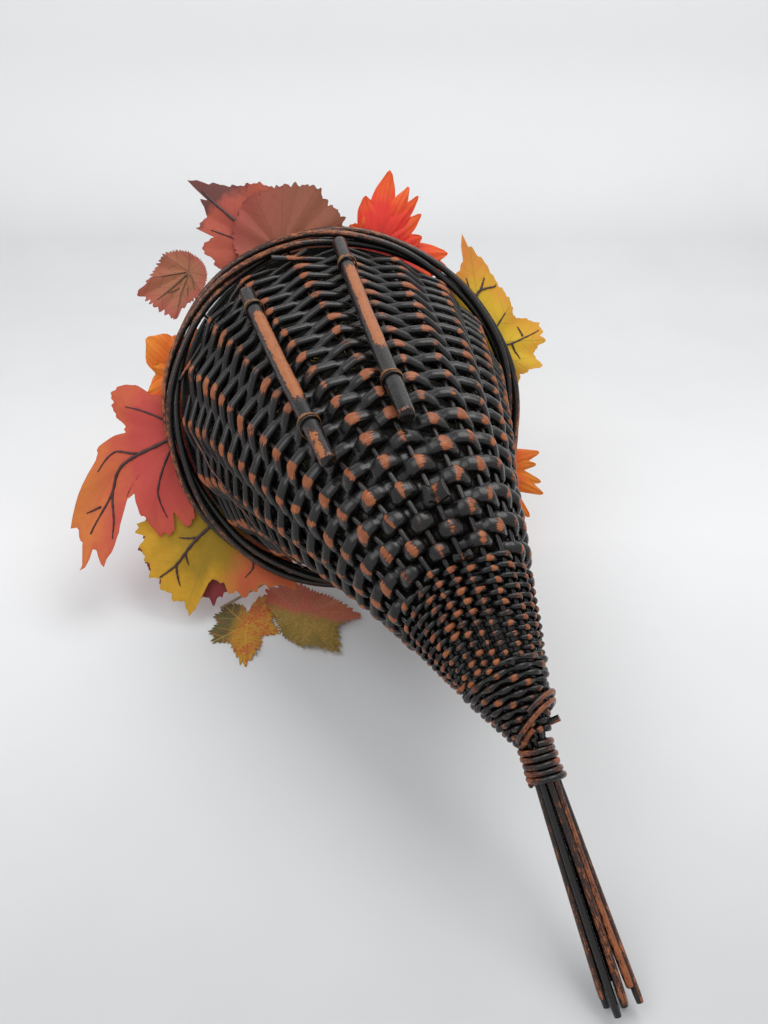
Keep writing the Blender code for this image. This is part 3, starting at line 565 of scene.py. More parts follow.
# Stakes: round rods, rubbed where they show between the weavers
stakeSteps, tailSteps, stakeWear = 97, 24, 0.32
for index, (stake, tip) in enumerate(zip(mainStakes, tailTips(tailEnd))):
    turn = 2 * math.pi * tailTurns[stake]
    bound = collarTop + (tailAcross * math.sin(turn) + tailUp * math.cos(turn)) * bundle
    bound = bound + tailAxis * tail["collarLength"]
    knots = np.linspace(0.0, lastStation, stakeSteps)
    outs = outward(knots, stakeAngle(stake, knots))
    run = np.linspace(0.0, 1.0, tailSteps + 1)[1:, None]
    tip = tip - tailAcross * (((tip - tailEnd) @ tailAcross) * (1 - tail["closed"]) - tail["nudge"][index])
    sway = np.sin(run * math.pi) * dice.uniform(-0.0005, 0.0005, 3)
    sway[:, 2] += run[:, 0] * (tail["stick"] - stakes["diameter"]) / 2
    path = np.vstack([stakePoint(stake, knots), bound + (tip - bound) * run + sway])
    outs = np.vstack([outs, np.tile(outs[-1:], (tailSteps, 1))])
    thick = np.concatenate([np.full(stakeSteps, stakes["diameter"]), np.interp(run[:, 0], (0, 0.05, 1), (
        stakes["diameter"], tail["stick"] * 0.9, tail["stick"]))])
    thick[-1] *= 0.86                                # the cut end
    wear = np.concatenate([np.full(stakeSteps, stakeWear), tail["worn"][index] * (0.75 + 0.35 * run[:, 0])])
    wear = wear[:, None] * np.clip(np.array([y for x, y in roundProfile]) * 0.45 + 0.75, 0, 1)
    rod(f"stakeMain{index + 1}", path, outs, thick, thick, wear, willow)
for index, stake in enumerate([stake for stake in range(stakeCount) if stake not in mainStakes]):
    end = float(rowStation(rowTotal - 0.6 * dice.random()))
    knots = np.linspace(0.0, end, 60)
    outs = outward(knots, stakeAngle(stake, knots))
    rod(f"stakeExtra{index + 1}", stakePoint(stake, knots), outs,
        stakes["diameter"], stakes["diameter"], np.full(len(knots), stakeWear), willow)
print("stakes done")

# Border: rods laid round the mouth that change places as they go
border = {"rods": 4, "diameter": 0.0034, "show": 0.0040, "depth": 0.0130, "twists": 2, "points": 144,
          "windGap": 0.0005}
borderWillow = lacqueredWillow("borderWillow", rub=0.66, speckled=0.45)
swing = (border["diameter"] + border["windGap"]) / math.sqrt(2)
half = (border["depth"] - border["diameter"]) / 2
turns = 2 * math.pi * np.arange(border["points"]) / border["points"]
arcs = [arcTo(angle) for angle in turns]
for index in range(border["rods"]):
    phase = 2 * math.pi * index / border["rods"] + border["twists"] * turns
    depth = border["depth"] / 2 + half * np.sin(phase)
    offset = stakes["diameter"] / 2 + 0.0003 + border["diameter"] / 2 + swing * (1 + np.cos(phase))
    wobble = 0.00035 * np.sin(turns * 5 + index * 2.1) + 0.0002 * np.sin(turns * 11 + index)
    spots = np.array([float(np.interp(d, arc, fineStations)) for d, arc in zip(depth, arcs)])
    thick = border["show"] * (1 + 0.05 * np.sin(turns * 3 + index))
    streaks = (0.34 + 0.16 * np.sin(turns * 5 + 1.7 * index) + 0.15 * (1 + np.cos(phase))
               + 0.14 * np.cos(turns * 2 + 1.1))
    rod(f"borderRod{index + 1}", surface(spots, turns, offset + wobble),
        outward(spots, turns), thick, thick, streaks, borderWillow, closed=True)
print("border done")


def rodOf(node):               # middle, way and length of a straight CAD rod
    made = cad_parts[node]
    points = np.array([vert.co[:] for vert in made.data.vertices])
    middle = points.mean(axis=0)
    way = np.linalg.svd(points - middle, full_matrices=False)[2][0]
    way = way * -np.sign(way[1])                     # from the mouth towards the tail
    spots = (points - middle) @ way
    return middle + way * (spots.max() + spots.min()) / 2, way, spots.max() - spots.min()


# Feet: whittled rods, worn along the top, and the cane that ties them down
footRadius = 0.0040
feet = {
    "footRight": {"ties": (0.16, 0.83), "worn": (0.20, 0.70), "lean": 108, "last": (0.0, 90)},
    "footLeft": {"ties": (0.12, 0.81), "worn": (0.17, 0.72), "lean": 104, "last": (0.75, 66)},
}
tie = {"turns": 2.55, "steps": 140, "clear": 0.0007, "deep": 0.0042, "pitch": 0.00125, "width": 0.00105,
       "thick": 0.00095, "middle": 1.27, "stray": 0.0003}
whittled = {"at": (0, 0.0035, 0.010, 0.02, 0.98, 0.990, 0.9965, 1), "size": (0.80, 0.93, 0.99, 1, 1, 0.99, 0.93, 0.80),
            "knots": ((0.22, 0.07), (0.88, 0.06)), "knotWide": 0.008, "sections": 61}
footWillow = lacqueredWillow("footWillow", rub=0.57, tan=0.75, speckled=1.15,
                             bare=((0.26, 0.070, 0.018), (0.40, 0.130, 0.038)))
tieCane = lacqueredWillow("tieCane", rub=0.50, tan=0.5, speckled=0.8,
                          bare=((0.26, 0.105, 0.030), (0.42, 0.21, 0.070)))
for name, foot in feet.items():
    middle, way, length = rodOf(nodeOf(name))
    middle, way = fromScene(middle), unit(fromScene(middle + way) - fromScene(middle))
    up = unit(np.array([0.0, 0.0, 1.0]) - way * way[2])
    level = np.cross(way, up)
    at = whittled["at"]
    shares = np.concatenate([at[:3], np.linspace(at[3], at[4], whittled["sections"]), at[5:]])
    size = np.interp(shares, at, whittled["size"])
    knot = sum(high * np.exp(-((shares - where) / whittled["knotWide"]) ** 2) for where, high in whittled["knots"])
    size = size * (1 + knot + 0.015 * np.sin(shares * 23) + 0.01 * np.sin(shares * 61 + 1))
    path = middle + way * ((shares - 0.5) * length)[:, None] + level * (0.0005 * np.sin(shares * 4))[:, None]
    begin, stop = foot["worn"]
    stripe = np.interp(shares, [0, begin - 0.02, begin + 0.05, stop - 0.05, stop + 0.03, 1], [0, 0, 1, 1, 0, 0])
    second = foot["last"][0] * np.interp(shares, [0, 0.84, 0.90, 1], [0, 0, 1, 1])
    toward = [np.array([max(0.0, math.cos(math.atan2(y, x) - math.radians(lean))) for x, y in footProfile])
              for lean in (foot["lean"], foot["last"][1])]
    wear = (stripe[:, None] * np.clip((toward[0] - 0.50) * 2.6, 0, 1)
            + second[:, None] * np.clip((toward[1] - 0.74) * 4.0, 0, 1) + 0.10)
    ends = np.interp(shares, [0, 0.012, 0.03, 0.97, 0.988, 1], [0.62, 0.40, 0.1, 0.1, 0.40, 0.62])
    wear = np.maximum(wear, ends[:, None])
    wear[[0, -1]] = 0.15                             # lacquer soaked into the cut ends
    across, outs = np.tile(level, (len(path), 1)), np.tile(up, (len(path), 1))
    piece = loft(name, path, across, outs, footRadius * 2 * size, footRadius * 2 * size, wear, footProfile)
    keep(piece, footWillow, "lacquered_willow", nodeOf(name))
    for index, share in enumerate(foot["ties"]):
        t = np.linspace(0, 2 * math.pi * tie["turns"], tie["steps"])
        centre = middle + way * (share - 0.5) * length
        radius = footRadius + tie["clear"]
        drop = np.where(np.cos(t) < 0, tie["deep"], 0.0)
        wound = tie["pitch"] * (t / (2 * math.pi) - tie["middle"]) + tie["stray"] * np.sin(t * 0.5 + index)
        path = (centre + way * wound[:, None]
                + level * (np.sin(t) * radius)[:, None]
                + up * (np.cos(t) * (radius + drop))[:, None])
        outs = level * np.sin(t)[:, None] + up * np.cos(t)[:, None]
        rod(f"{name}Tie{index + 1}", path, outs, tie["width"], tie["thick"], 0.50 + 0.3 * np.sin(t * 1.3), tieCane,
            "cane", node=f"tie_{nodeOf(name)}_{index + 1}")
print("feet done")

# Collar: one cane wound round the bundle, its last turn standing out
collar = {"turns": 6, "flare": 0.0006, "steps": 48, "lashTurns": 2, "lash": 0.0021,
          "lashFrom": 0.64, "lashAdvance": 0.11, "lashSlant": 0.24, "lashTo": 0.98}
caneFinish = lacqueredWillow("collarCane", rub=0.55, tan=0.35, speckled=0.6)
pitch = tail["collarLength"] / collar["turns"]
cane = pitch - 0.0005
t = np.arange(collar["turns"] * collar["steps"] + 1 - collar["steps"] // 3) / collar["steps"]
stand = collar["flare"] * np.clip(t - (collar["turns"] - 2), 0.0, 1.0)
radius = bundle + stakes["diameter"] / 2 + 0.0003 + cane / 2 + stand + 0.00018 * np.sin(t * 9)
outs = tailAcross * np.sin(2 * np.pi * t)[:, None] + tailUp * np.cos(2 * np.pi * t)[:, None]
along = cane / 2 + 0.0003 + t * pitch + 0.0002 * np.sin(t * 5)
path = collarTop + tailAxis * along[:, None] + outs * radius[:, None]
rubbed = 0.18 + 0.48 * np.abs(np.sin(2 * np.pi * t)) + 0.12 * np.sin(t * 8.3)
rubbed[t > t[-1] - 0.5] += 0.22                      # the last turn is bare
rod("collarBinding", path, outs, cane * 1.16, cane * 1.0, rubbed, caneFinish, "cane")
neck = lambda share: fine["end"] + (lastStation - fine["end"]) * share
t = np.arange(collar["lashTurns"] * collar["steps"] + 1) / collar["steps"]
share = collar["lashFrom"] + collar["lashAdvance"] * t - collar["lashSlant"] * np.cos(2 * np.pi * t - 1.35)
share = np.minimum(share, collar["lashTo"])          # the horn ends at the collar
path = surface(neck(share), 2 * np.pi * t, stakes["diameter"] / 2 + collar["lash"] / 2 + 0.0002
               + 0.0026 * np.clip((0.92 - share) / 0.12, 0, 1))
rod("collarLash", path, outward(neck(share), 2 * np.pi * t), collar["lash"] * 1.1,
    collar["lash"] * 0.9, 0.46 + 0.24 * np.sin(t * 7), caneFinish, "cane")
stub = {"at": 0.84, "turn": 2 * math.pi * 0.200, "out": 0.0066, "up": 0.0026, "thick": 0.0028, "sunk": 0.0010}
start, way = surface(neck(stub["at"]), stub["turn"], stub["sunk"]), outward(neck(stub["at"]), stub["turn"])
run = np.linspace(0, 1, 9)
path = start + (way * stub["out"] - tailAxis * stub["up"]) * run[:, None]
rod("cutRodEnd", path, np.tile(tailAxis, (len(run), 1)), stub["thick"], stub["thick"],
    np.linspace(0.3, 1.0, 9), willow)
t = np.linspace(0, 1, 70)                            # the strand that has come loose over the weave
spots, turns = 0.95 + 2.15 * t, np.radians(-76.0 - 42.0 * t)
rod("looseStrand", surface(spots, turns, 0.0047 + 0.0004 * np.sin(t * 31)), outward(spots, turns),
    0.0011, 0.0009, np.full(70, 0.50), caneFinish, "cane")
print("collar done")

# Moss: a thin near-black lining close inside the weave, whose dark also paints the shade inside the horn so the gaps
# read dark, with curled strands that show in the gaps
moss = {"from": 0.02, "to": 6.3, "behind": 0.0058, "rough": 0.0016, "thick": 0.0012, "strands": 900,
        "strand": 0.00028, "points": 9, "until": 5.2, "curl": 3.5, "size": (0.006, 0.018),
        "depth": (0.0036, 0.0056), "perStation": 0.045, "perTurn": 0.070}


def mossFinish(name, deep, light, glint, rich):
    made = Finish(name, 0.9)
    clump, thread = made.noise(95.0, 4.0, 0.65), made.noise(900.0, 3.0, 0.7)
    colour = made.mix((thread + (clump - 0.5) * 0.8).step(0.45, 0.80), deep, light)
    # painted glints: the glint colour is laid in bright spots where the noise runs high, standing in for light catching
    # the moss fibres
    made.set("Base Color", made.mix((clump * 0.7 + thread * 0.5).step(rich, rich + 0.12), colour, glint))
    made.bump(thread + clump * 0.6, 0.0012, 0.9)
    return made.material


grid = (120, 150)
u, v = np.meshgrid(np.linspace(moss["from"], moss["to"], grid[0]),
                   np.linspace(0.0, 2 * math.pi, grid[1], endpoint=False), indexing="ij")
lumps = sum(np.sin(v * a + b + u * c) * np.sin(u * d + b * 2) for a, b, c, d in
            ((3, 0.3, 1.1, 2.1), (7, 1.9, -2.3, 4.7), (13, 4.0, 5.2, 9.1), (22, 2.2, -7.0, 15.0))) / 2.4
behind = np.interp(u, (0.0, 0.5), (0.0034, moss["behind"]))
rough = moss["rough"] * lumps * np.minimum(1.0, (moss["to"] - u) / 2.0) * np.minimum(1.0, u * 2)
lining = build("mossLining", toScene(surface(u, v, -behind - rough).reshape(-1, 3)), tube(steps(grid[0]), grid[1]))
thicken(lining, moss["thick"], sharp=0)
# painted shade: the mat's near-black colours stand in for the shade inside the horn as well as for the moss
keep(lining, mossFinish("mossMatPaintedShade", (0.0035, 0.0030, 0.0022), (0.022, 0.018, 0.008), (0.16, 0.13, 0.03), 0.70),
     "olive_cloth")
verts, faces = [], []
for strand in range(moss["strands"]):
    a, b = dice.uniform(moss["from"] + 0.1, moss["until"]), dice.uniform(0, 2 * math.pi)
    way, curl = dice.uniform(0, 2 * math.pi), dice.uniform(-moss["curl"], moss["curl"])
    size = dice.uniform(*moss["size"])
    t = np.linspace(0.0, 1.0, moss["points"])
    turn = way + curl * t
    reachA = np.cumsum(np.cos(turn)) * size / moss["points"] / moss["perStation"]
    reachB = np.cumsum(np.sin(turn)) * size / moss["points"] / moss["perTurn"]
    depth = -dice.uniform(*moss["depth"]) + 0.0012 * np.sin(t * 6 + strand)
    line = surface(np.clip(a + reachA, 0.3, 6.0), b + reachB, depth)
    side = unit(np.cross(np.gradient(line, axis=0), [0.3, 0.5, 0.8]))
    other = unit(np.cross(np.gradient(line, axis=0), side))
    first = len(verts)
    for point, x, y, slim in zip(line, side, other, np.interp(t, (0, 0.3, 1), (0.7, 1.0, 0.35))):
        for k in range(3):
            verts.append(point + (x * math.cos(k * 2.094) + y * math.sin(k * 2.094)) * moss["strand"] * slim)
    end = len(verts) - 3
    faces += tube(steps(moss["points"]), 3, first) + [(first + 2, first + 1, first), (end, end + 1, end + 2)]
# painted light: these strand colours are raised so they show in the shade behind the weave
keep(build("mossStrands", toScene(np.array(verts)), faces, smooth=True),
     mossFinish("mossCurl", (0.12, 0.090, 0.024), (0.42, 0.36, 0.060), (0.80, 0.70, 0.18), 0.62), "olive_cloth")
print("moss done")

# Wreath: cloth leaves and flowers laid on the mouth, or on the table in front of it
wreath = {"leaf": 0.060, "flower": 0.045, "ring": 0.0032, "gap": 0.0003, "cloth": 0.0004,
          "layer": 0.0014, "flare": 0.0050, "flareOver": 0.060}
leafThick, petalThick, leafDegrees, leafRings = 0.00035, 0.00030, 1.2, 22
mouthTop, mouthLow = np.array(tops[0]), np.array(lows[0])
mouthMiddle, mouthHalfRise = (mouthTop + mouthLow) / 2, np.linalg.norm(mouthTop - mouthLow) / 2
mouthUp = unit(mouthTop - mouthLow)
mouthOut = np.cross([1.0, 0.0, 0.0], mouthUp)
mouthOut = mouthOut * np.sign(mouthOut[1])
mouthHalfWidth = horn["mouthWidth"] / 2


def turned(start, heading):            # flat points of a leaf, turned and moved to where it lies
    way = np.array([math.sin(math.radians(heading)), math.cos(math.radians(heading))])
    side = np.array([way[1], -way[0]])
    return lambda points: np.array(start) + points[:, :1] * side + points[:, 1:2] * way


def onMouth(across, up, heading, layer):        # a spot on the wreath: flat (x, y, lift) to the scene
    flatly = turned((mouthHalfWidth * across, mouthHalfRise * up), heading)
    lift = wreath["ring"] / 2 + wreath["gap"] + wreath["cloth"] / 2 + layer * wreath["layer"]

    def place(points):
        points = np.asarray(points)
        flat = flatly(points)
        out = np.hypot(flat[:, 0] / mouthHalfWidth, flat[:, 1] / mouthHalfRise)
        over = np.maximum(np.hypot(flat[:, 0], flat[:, 1]) * (1 - 1 / np.maximum(out, 1e-6)), 0.0)
        sag = wreath["flare"] * (over / wreath["flareOver"]) ** 2
        spots = (mouthMiddle + flat[:, :1] * np.array([1.0, 0.0, 0.0]) + flat[:, 1:2] * mouthUp
                 + mouthOut * (lift + sag + points[:, 2])[:, None])
        return toScene(spots)
    return place


def onTable(across, reach, heading, layer):
    flatly = turned((mouthHalfWidth * across, horn["reach"] * reach), heading)
    lift = wreath["gap"] + wreath["cloth"] / 2 + layer * wreath["layer"]

    def place(points):
        points = np.asarray(points)
        flat = flatly(points)
        stand = lift + points[:, 2]
        x = flat[:, 0] * rollCos + stand * rollSin
        return toScene(np.stack([x, flat[:, 1], tableHeight(x) + stand * rollCos], axis=1))
    return place


def spotOf(thing):
    return onTable(*thing["flat"]) if "flat" in thing else onMouth(*thing["at"])


# Half-hidden leaves are cut as the photograph shows them: degrees from the way the leaf points, and reach
leafCuts = {
    "leafLeftMaple": (
        (-180, .14), (-140, .20), (-110, .30), (-90, .38), (-70, .46), (-58, .54), (-49, .60), (-45, .50),
        (-41, .62), (-34, .66), (-29, .57), (-26, .68), (-22, .72), (-17, .73), (-12, .67), (-6, .62), (0, .54),
        (4, .57), (5, .80), (7, .90), (10, 1.00), (12, 1.05), (15, .98), (17, 1.00), (20, 1.17), (22, .99),
        (25, .95), (29, .99), (31, .88), (34, .70), (38, .60), (45, .55), (50, .37), (58, .37), (66, .45),
        (76, .49), (86, .53), (92, .50), (98, .45), (104, .32), (125, .22), (180, .14)),
    "leafRightMaple": (
        (-180, .20), (-130, .32), (-95, .46), (-75, .60), (-60, .70), (-49, .78), (-46, .73), (-42, .74),
        (-38, .84), (-37, .98), (-35, 1.06), (-33, .94), (-31, .93), (-22, .78), (-14, .66), (-8, .60), (3, .52),
        (11, .47), (20, .41), (27, .40), (37, .50), (43, .55), (46, .59), (54, .60), (59, .57), (64, .61),
        (69, .54), (76, .49), (84, .52), (89, .62), (96, .52), (110, .46), (121, .52), (130, .42), (150, .26),
        (180, .20)),
    "leafLowMaple": (
        (-180, .20), (-130, .30), (-100, .50), (-84, .70), (-76, .86), (-67, .96), (-62, .84), (-56, .78),
        (-50, .72), (-47, .76), (-42, .74), (-38, .78), (-32, .70), (-27, .71), (-24, .62), (-16, .57), (-10, .60),
        (-7, .76), (-5, .88), (-3, .98), (-1, .90), (3, .84), (8, .89), (12, .83), (18, .86), (24, .79), (29, .84),
        (36, .78), (44, .79), (52, .77), (56, .71), (60, .78), (66, .77), (70, .62), (76, .46), (90, .38),
        (130, .25), (180, .20)),
    "leafLowRed": (
        (-180, .20), (-120, .30), (-80, .50), (-60, .60), (-45, .70), (-36, .80), (-29, .89), (-25, .82),
        (-21, .87), (-17, .72), (-10, .68), (-4, .80), (0, .78), (5, .90), (9, .82), (13, .86), (20, .83),
        (26, .78), (31, .81), (39, .71), (50, .66), (62, .60), (75, .45), (100, .35), (140, .25), (180, .20)),
    "leafTopMaple": (
        (-180, .20), (-120, .25), (-90, .35), (-70, .50), (-60, .56), (-52, .57), (-47, .64), (-44, .66),
        (-38, .63), (-34, .60), (-31, .55), (-29, .64), (-27, .74), (-24, .72), (-18, .70), (-12, .71), (-9, .77),
        (-6, .85), (-4, .78), (-2, .96), (-1, 1.05), (2, 1.00), (5, .90), (8, .85), (16, .75), (26, .69), (38, .66),
        (49, .63), (60, .60), (80, .45), (110, .30), (180, .20)),
    "leafTopGrape": (
        (-180, .30), (-150, .40), (-120, .50), (-90, .60), (-70, .66), (-54, .70), (-44, .76), (-35, .79),
        (-22, .78), (-11, .84), (1, .87), (13, .92), (27, .97), (38, .90), (46, .90), (60, .92), (75, .85),
        (90, .80), (120, .60), (150, .40), (180, .30)),
    "leafLeftGrape": (
        (-180, .26), (-145, .27), (-111, .30), (-90, .36), (-66, .44), (-52, .50), (-44, .60), (-39, .76),
        (-36, .84), (-31, .78), (-20, .77), (-12, .79), (-4, .78), (4, .79), (9, .82), (13, .90), (17, .74),
        (24, .62), (30, .57), (45, .50), (60, .47), (74, .46), (92, .41), (111, .35), (140, .28), (180, .26)),
    "leafSmallLeft": (
        (-180, .36), (-174, .22), (-168, .30), (-160, .56), (-152, .63), (-143, .54), (-134, .50), (-122, .52),
        (-112, .44), (-95, .36), (-82, .38), (-72, .46), (-63, .50), (-55, .43), (-46, .34), (-38, .33), (-28, .42),
        (-16, .52), (-6, .62), (4, .75), (11, .62), (22, .48), (33, .38), (44, .38), (54, .45), (63, .53),
        (72, .46), (84, .50), (95, .44), (106, .39), (121, .51), (134, .45), (147, .54), (160, .50), (172, .42),
        (180, .36)),
    "leafSmallRight": (
        (-180, .46), (-165, .56), (-152, .64), (-140, .60), (-128, .62), (-112, .50), (-95, .40), (-78, .37),
        (-60, .42), (-45, .44), (-30, .48), (-20, .56), (-12, .66), (-7, .74), (-2, .62), (8, .52), (18, .49),
        (28, .58), (38, .72), (44, .81), (52, .70), (62, .60), (74, .57), (86, .50), (98, .46), (108, .44),
        (125, .38), (145, .36), (165, .38), (180, .46)),
}
# Raised ribs on the back of a leaf, each a line of the same degrees and reach, and its width
leafRibs = {
    "leafLeftMaple": (
        ((16, .08), (22, .30), (20, .50), (15, .64), (19, .92)), ((24, .33), (34, .46), (31, .62)),
        ((-10, .12), (-17, .41), (-24, .60)), ((87, .10), (76, .40)), ((16, .60), (9, .74), (8, .86)),
        ((18, .74), (24, .84)), ((-49, .12), (-44, .44))),
    "leafRightMaple": (
        ((-30, .10), (-34, .43), (-27, .53), (-23, .64)), ((-29, .51), (-13, .57), (-11, .60)),
        ((-39, .30), (-39, .66)), ((76, .10), (72, .19), (60, .37), (53, .56)), ((56, .38), (40, .37)),
        ((68, .26), (82, .30), (92, .37)), ((12, .10), (11, .36))),
    "leafLowMaple": (
        ((34, .08), (28, .33), (23, .56), (25, .78)), ((22, .60), (10, .73)), ((30, .27), (45, .42)),
        ((-60, .12), (-57, .50), (-43, .60)), ((24, .46), (14, .52))),
    "leafLowRed": (((8, .08), (6, .70)), ((-24, .10), (-27, .66)), ((30, .10), (33, .64))),
    "leafTopMaple": (((-4, .10), (-3, .60), (-1, .88)), ((-26, .10), (-25, .60)), ((34, .10), (38, .55))),
    "leafLeftGrape": (
        ((-12, .05), (-10, .40), (-8, .68)), ((-38, .05), (-34, .34), (-37, .60)), ((26, .05), (24, .44)),
        ((-76, .05), (-70, .30)), ((-24, .30), (-12, .48)), ((-48, .26), (-50, .40))),
}


def leafSheet(name, size, spot, shape):
    # fans out from where the ribs meet; u and v run along and off the nearest vein
    cut = np.array(leafCuts[name], float)
    teeth, depth = shape.get("teeth", (0, 0.0))
    angles = np.unique(np.concatenate([cut[:, 0], np.arange(-180, 180, leafDegrees)]))
    angles = angles[angles < 179.9]
    angles = angles[np.append(True, np.diff(angles) > 1e-6)]     # no spot twice
    reaches = np.interp(angles, *cut.T)
    if teeth:
        saw = 1 - np.abs((angles / 360 * teeth) % 1.0 - 0.3) / 0.7
        reaches = reaches * (1 + depth * (saw - 0.5))
    rag = np.sin(np.radians(angles) * 37 + shape["seed"]) + 0.8 * np.sin(np.radians(angles) * 71 + 2 * shape["seed"])
    reaches = reaches * (1 + shape.get("ragged", 0.014) * rag) * size
    poleX, poleY = shape.get("pole", (0.0, 0.0))
    veins = np.array(shape.get("veins", (0.0, -45.0, 45.0, -95.0, 95.0)))
    rings = np.linspace(0.0, 1.0, leafRings + 1)[1:]
    count = len(angles)

    def swung(degrees, reach):             # the whole leaf curves to one side, further out
        far = np.clip((np.asarray(reach) / size - 0.45) / 0.50, 0.0, 1.3)
        turn = np.radians(np.asarray(degrees) + shape.get("swing", 0.0) * far)
        return np.stack([poleX * size + reach * np.sin(turn), poleY * size + reach * np.cos(turn)], axis=-1)

    def lifted(points):                    # how far the cloth stands off its plane
        x, y = points[:, 0] / size - poleX, points[:, 1] / size - poleY
        away, turn = np.hypot(x, y), np.arctan2(x, y)
        off = np.min([np.abs((turn - math.radians(v) + math.pi) % (2 * math.pi) - math.pi) for v in veins], axis=0)
        fold = np.exp(-(off / 0.22) ** 2)
        lift = shape["cup"] * away ** 2 - shape["fold"] * fold * away + shape["wave"] * away ** 2 * (
            np.sin(turn * 5 + shape["seed"]) + 0.6 * np.sin(turn * 9 + shape["seed"] * 2.3))
        lift += shape["curl"] * np.clip(away - 0.55, 0, 1) ** 2 * 3.0
        lift += (0.005 * away ** 2 * np.sin(turn * 17 + shape["seed"] * 3)
                 + 0.006 * np.sin(x * 22 + shape["seed"]) * away)
        return np.maximum(lift * size, shape.get("clear", -1.0))

    flat = np.array([swung(angles, reaches * r) for r in rings])
    points = np.vstack([[[poleX * size, poleY * size]], flat.reshape(-1, 2)])
    share = np.concatenate([[0.0], np.repeat(rings, count)])
    placed = spot(np.column_stack([points, lifted(points)]))
    faces, spots = [], []
    for ring in range(len(rings)):
        for j in range(count):
            k = (j + 1) % count
            outer = (1 + ring * count + j, 1 + ring * count + k)
            face = ((0, outer[1], outer[0]) if ring == 0 else
                    (1 + (ring - 1) * count + j, 1 + (ring - 1) * count + k, outer[1], outer[0]))
            middle = (angles[j] + (angles[k] if k else 180.0)) / 2
            away = (middle - veins + 180) % 360 - 180
            vein = math.radians(veins[np.argmin(abs(away))])
            side = 1.0 if away[np.argmin(abs(away))] > 0 else -1.0
            for corner in face:
                x, y = points[corner] - (poleX * size, poleY * size)
                spots.append(((x * math.sin(vein) + y * math.cos(vein)) * uvScale,
                              (x * math.cos(vein) - y * math.sin(vein)) * uvScale * side))
            faces.append(face)
    made = build(name, placed, faces, spots,
                 {"edge": share, "side": points[:, 0] / size, "up": points[:, 1] / size})
    thicken(made, leafThick)
    rim = flat[-1]
    area = 0.5 * abs(np.sum(rim[:, 0] * np.roll(rim[:, 1], -1) - np.roll(rim[:, 0], -1) * rim[:, 1]))
    verts, faces, around = [], [], 8
    for index, rib in enumerate(leafRibs.get(name, ())):
        rib = np.array(rib)
        knots = np.linspace(0, len(rib) - 1, 6 * len(rib))
        line = swung(through(rib[:, 0], knots), through(rib[:, 1], knots) * size)
        low = lifted(line) - leafThick
        path = spot(np.column_stack([line, low]))
        under = unit(spot(np.column_stack([line, low - 0.001])) - path)
        beside = unit(np.cross(np.gradient(path, axis=0), under))
        slim = np.interp(np.linspace(0, 1, len(path)), (0, 0.7, 0.96, 1), (1.0, 0.70, 0.42, 0.5)) / 2
        slim = slim * shape.get("rib", 0.0021) * (0.66 if index else 1.0)
        slim = slim * (1 + 0.18 * np.sin(np.arange(len(path)) * 2.1 + index))
        first = len(verts)
        for point, a, b, r in zip(path, beside, under, slim):
            verts += [point + a * r * math.cos(t) + b * r * 0.8 * math.sin(t) for t in np.arange(around) * math.pi / 4]
        faces += tube(steps(len(path)), around, first)
        faces += [tuple(range(first, first + around))[::-1], tuple(range(len(verts) - around, len(verts)))]
    ribs = build(name + "Ribs", verts, faces, smooth=True) if verts else None
    if ribs:
        faceOut(ribs)
    return made, ribs, tuple(np.ptp(rim, axis=0)), area


def leafCloth(name, base, far, shift, vein, shadow, reach=(0.45, 0.95), lean=(1.0, 0.0), leaned=(0.1, 0.6),
              veins=0.75, glitter=0.0, fleck=None):
    # base turns to far towards the edge, and to shift towards the way the leaf leans
    made = Finish(name)
    along, off = (made.node("ShaderNodeSeparateXYZ", {}, {0: made.map}, axis) for axis in ("X", "Y"))
    edge, side, up = made.spread("edge"), made.spread("side"), made.spread("up")
    blotch, threads, grain = made.noise(70.0, 4.0, 0.6), made.noise(2600.0, 2.0, 0.6), made.noise(420.0, 3.0, 0.6)
    warp = (made.noise(150.0, 2.0) - 0.5) * 0.16
    main = 1.0 - (off + warp * 0.25).step(0.008, 0.055)
    rib = ((along - off * 0.9 + warp) * 1.45).maths("FRACT").maths("PINGPONG", 0.5)
    branch = (1.0 - rib.step(0.015, 0.075)) * (1.0 - off.step(0.5, 1.1)) * 0.7
    veined = main.maths("MAXIMUM", branch) * veins
    ground = made.mix((edge + (blotch - 0.5) * 0.9).step(*reach), base, far)
    slope = side * lean[0] + up * lean[1] + (blotch - 0.5) * 0.35
    shifted = slope.step(*leaned)
    ground = made.mix(shifted, ground, shift)
    ground = made.mix((grain * 0.6 + blotch * 0.4).step(0.52, 0.80) * 0.30, ground, shadow)
    ground = made.mix(veined * 0.8, ground, vein)
    ground = made.mix(edge.step(0.94, 1.0) * 0.30, ground, shadow)
    if fleck:
        dots = (made.noise(700.0, 3.0, 0.7) + (blotch - 0.5) * 0.5).step(0.50, 0.58)
        ground = made.mix(dots * (0.85 - shifted * 0.6), ground, fleck)
    if glitter:
        spark = made.noise(5200.0, 1.0, 0.5).step(0.66, 0.72) * glitter
        ground = made.mix(spark, ground, (0.95, 0.76, 0.36))
        made.set("Metallic", spark * 0.6)
    made.sets(Base_Color=ground, Roughness=0.62 + (grain - 0.5) * 0.2, Sheen_Weight=0.05, Sheen_Roughness=0.5,
              Specular_IOR_Level=0.3)
    made.bump(threads * 0.22 + grain * 0.25 - veined * 0.8, 0.0003, 0.7)
    return made.material


def ribPlastic(name, dark, light):
    made = Finish(name, 0.38)
    grain = made.noise(500.0, 3.0, 0.6)
    made.set("Base Color", made.mix(grain, dark, light))
    made.bump(grain, 0.0003, 0.6)
    return made.material


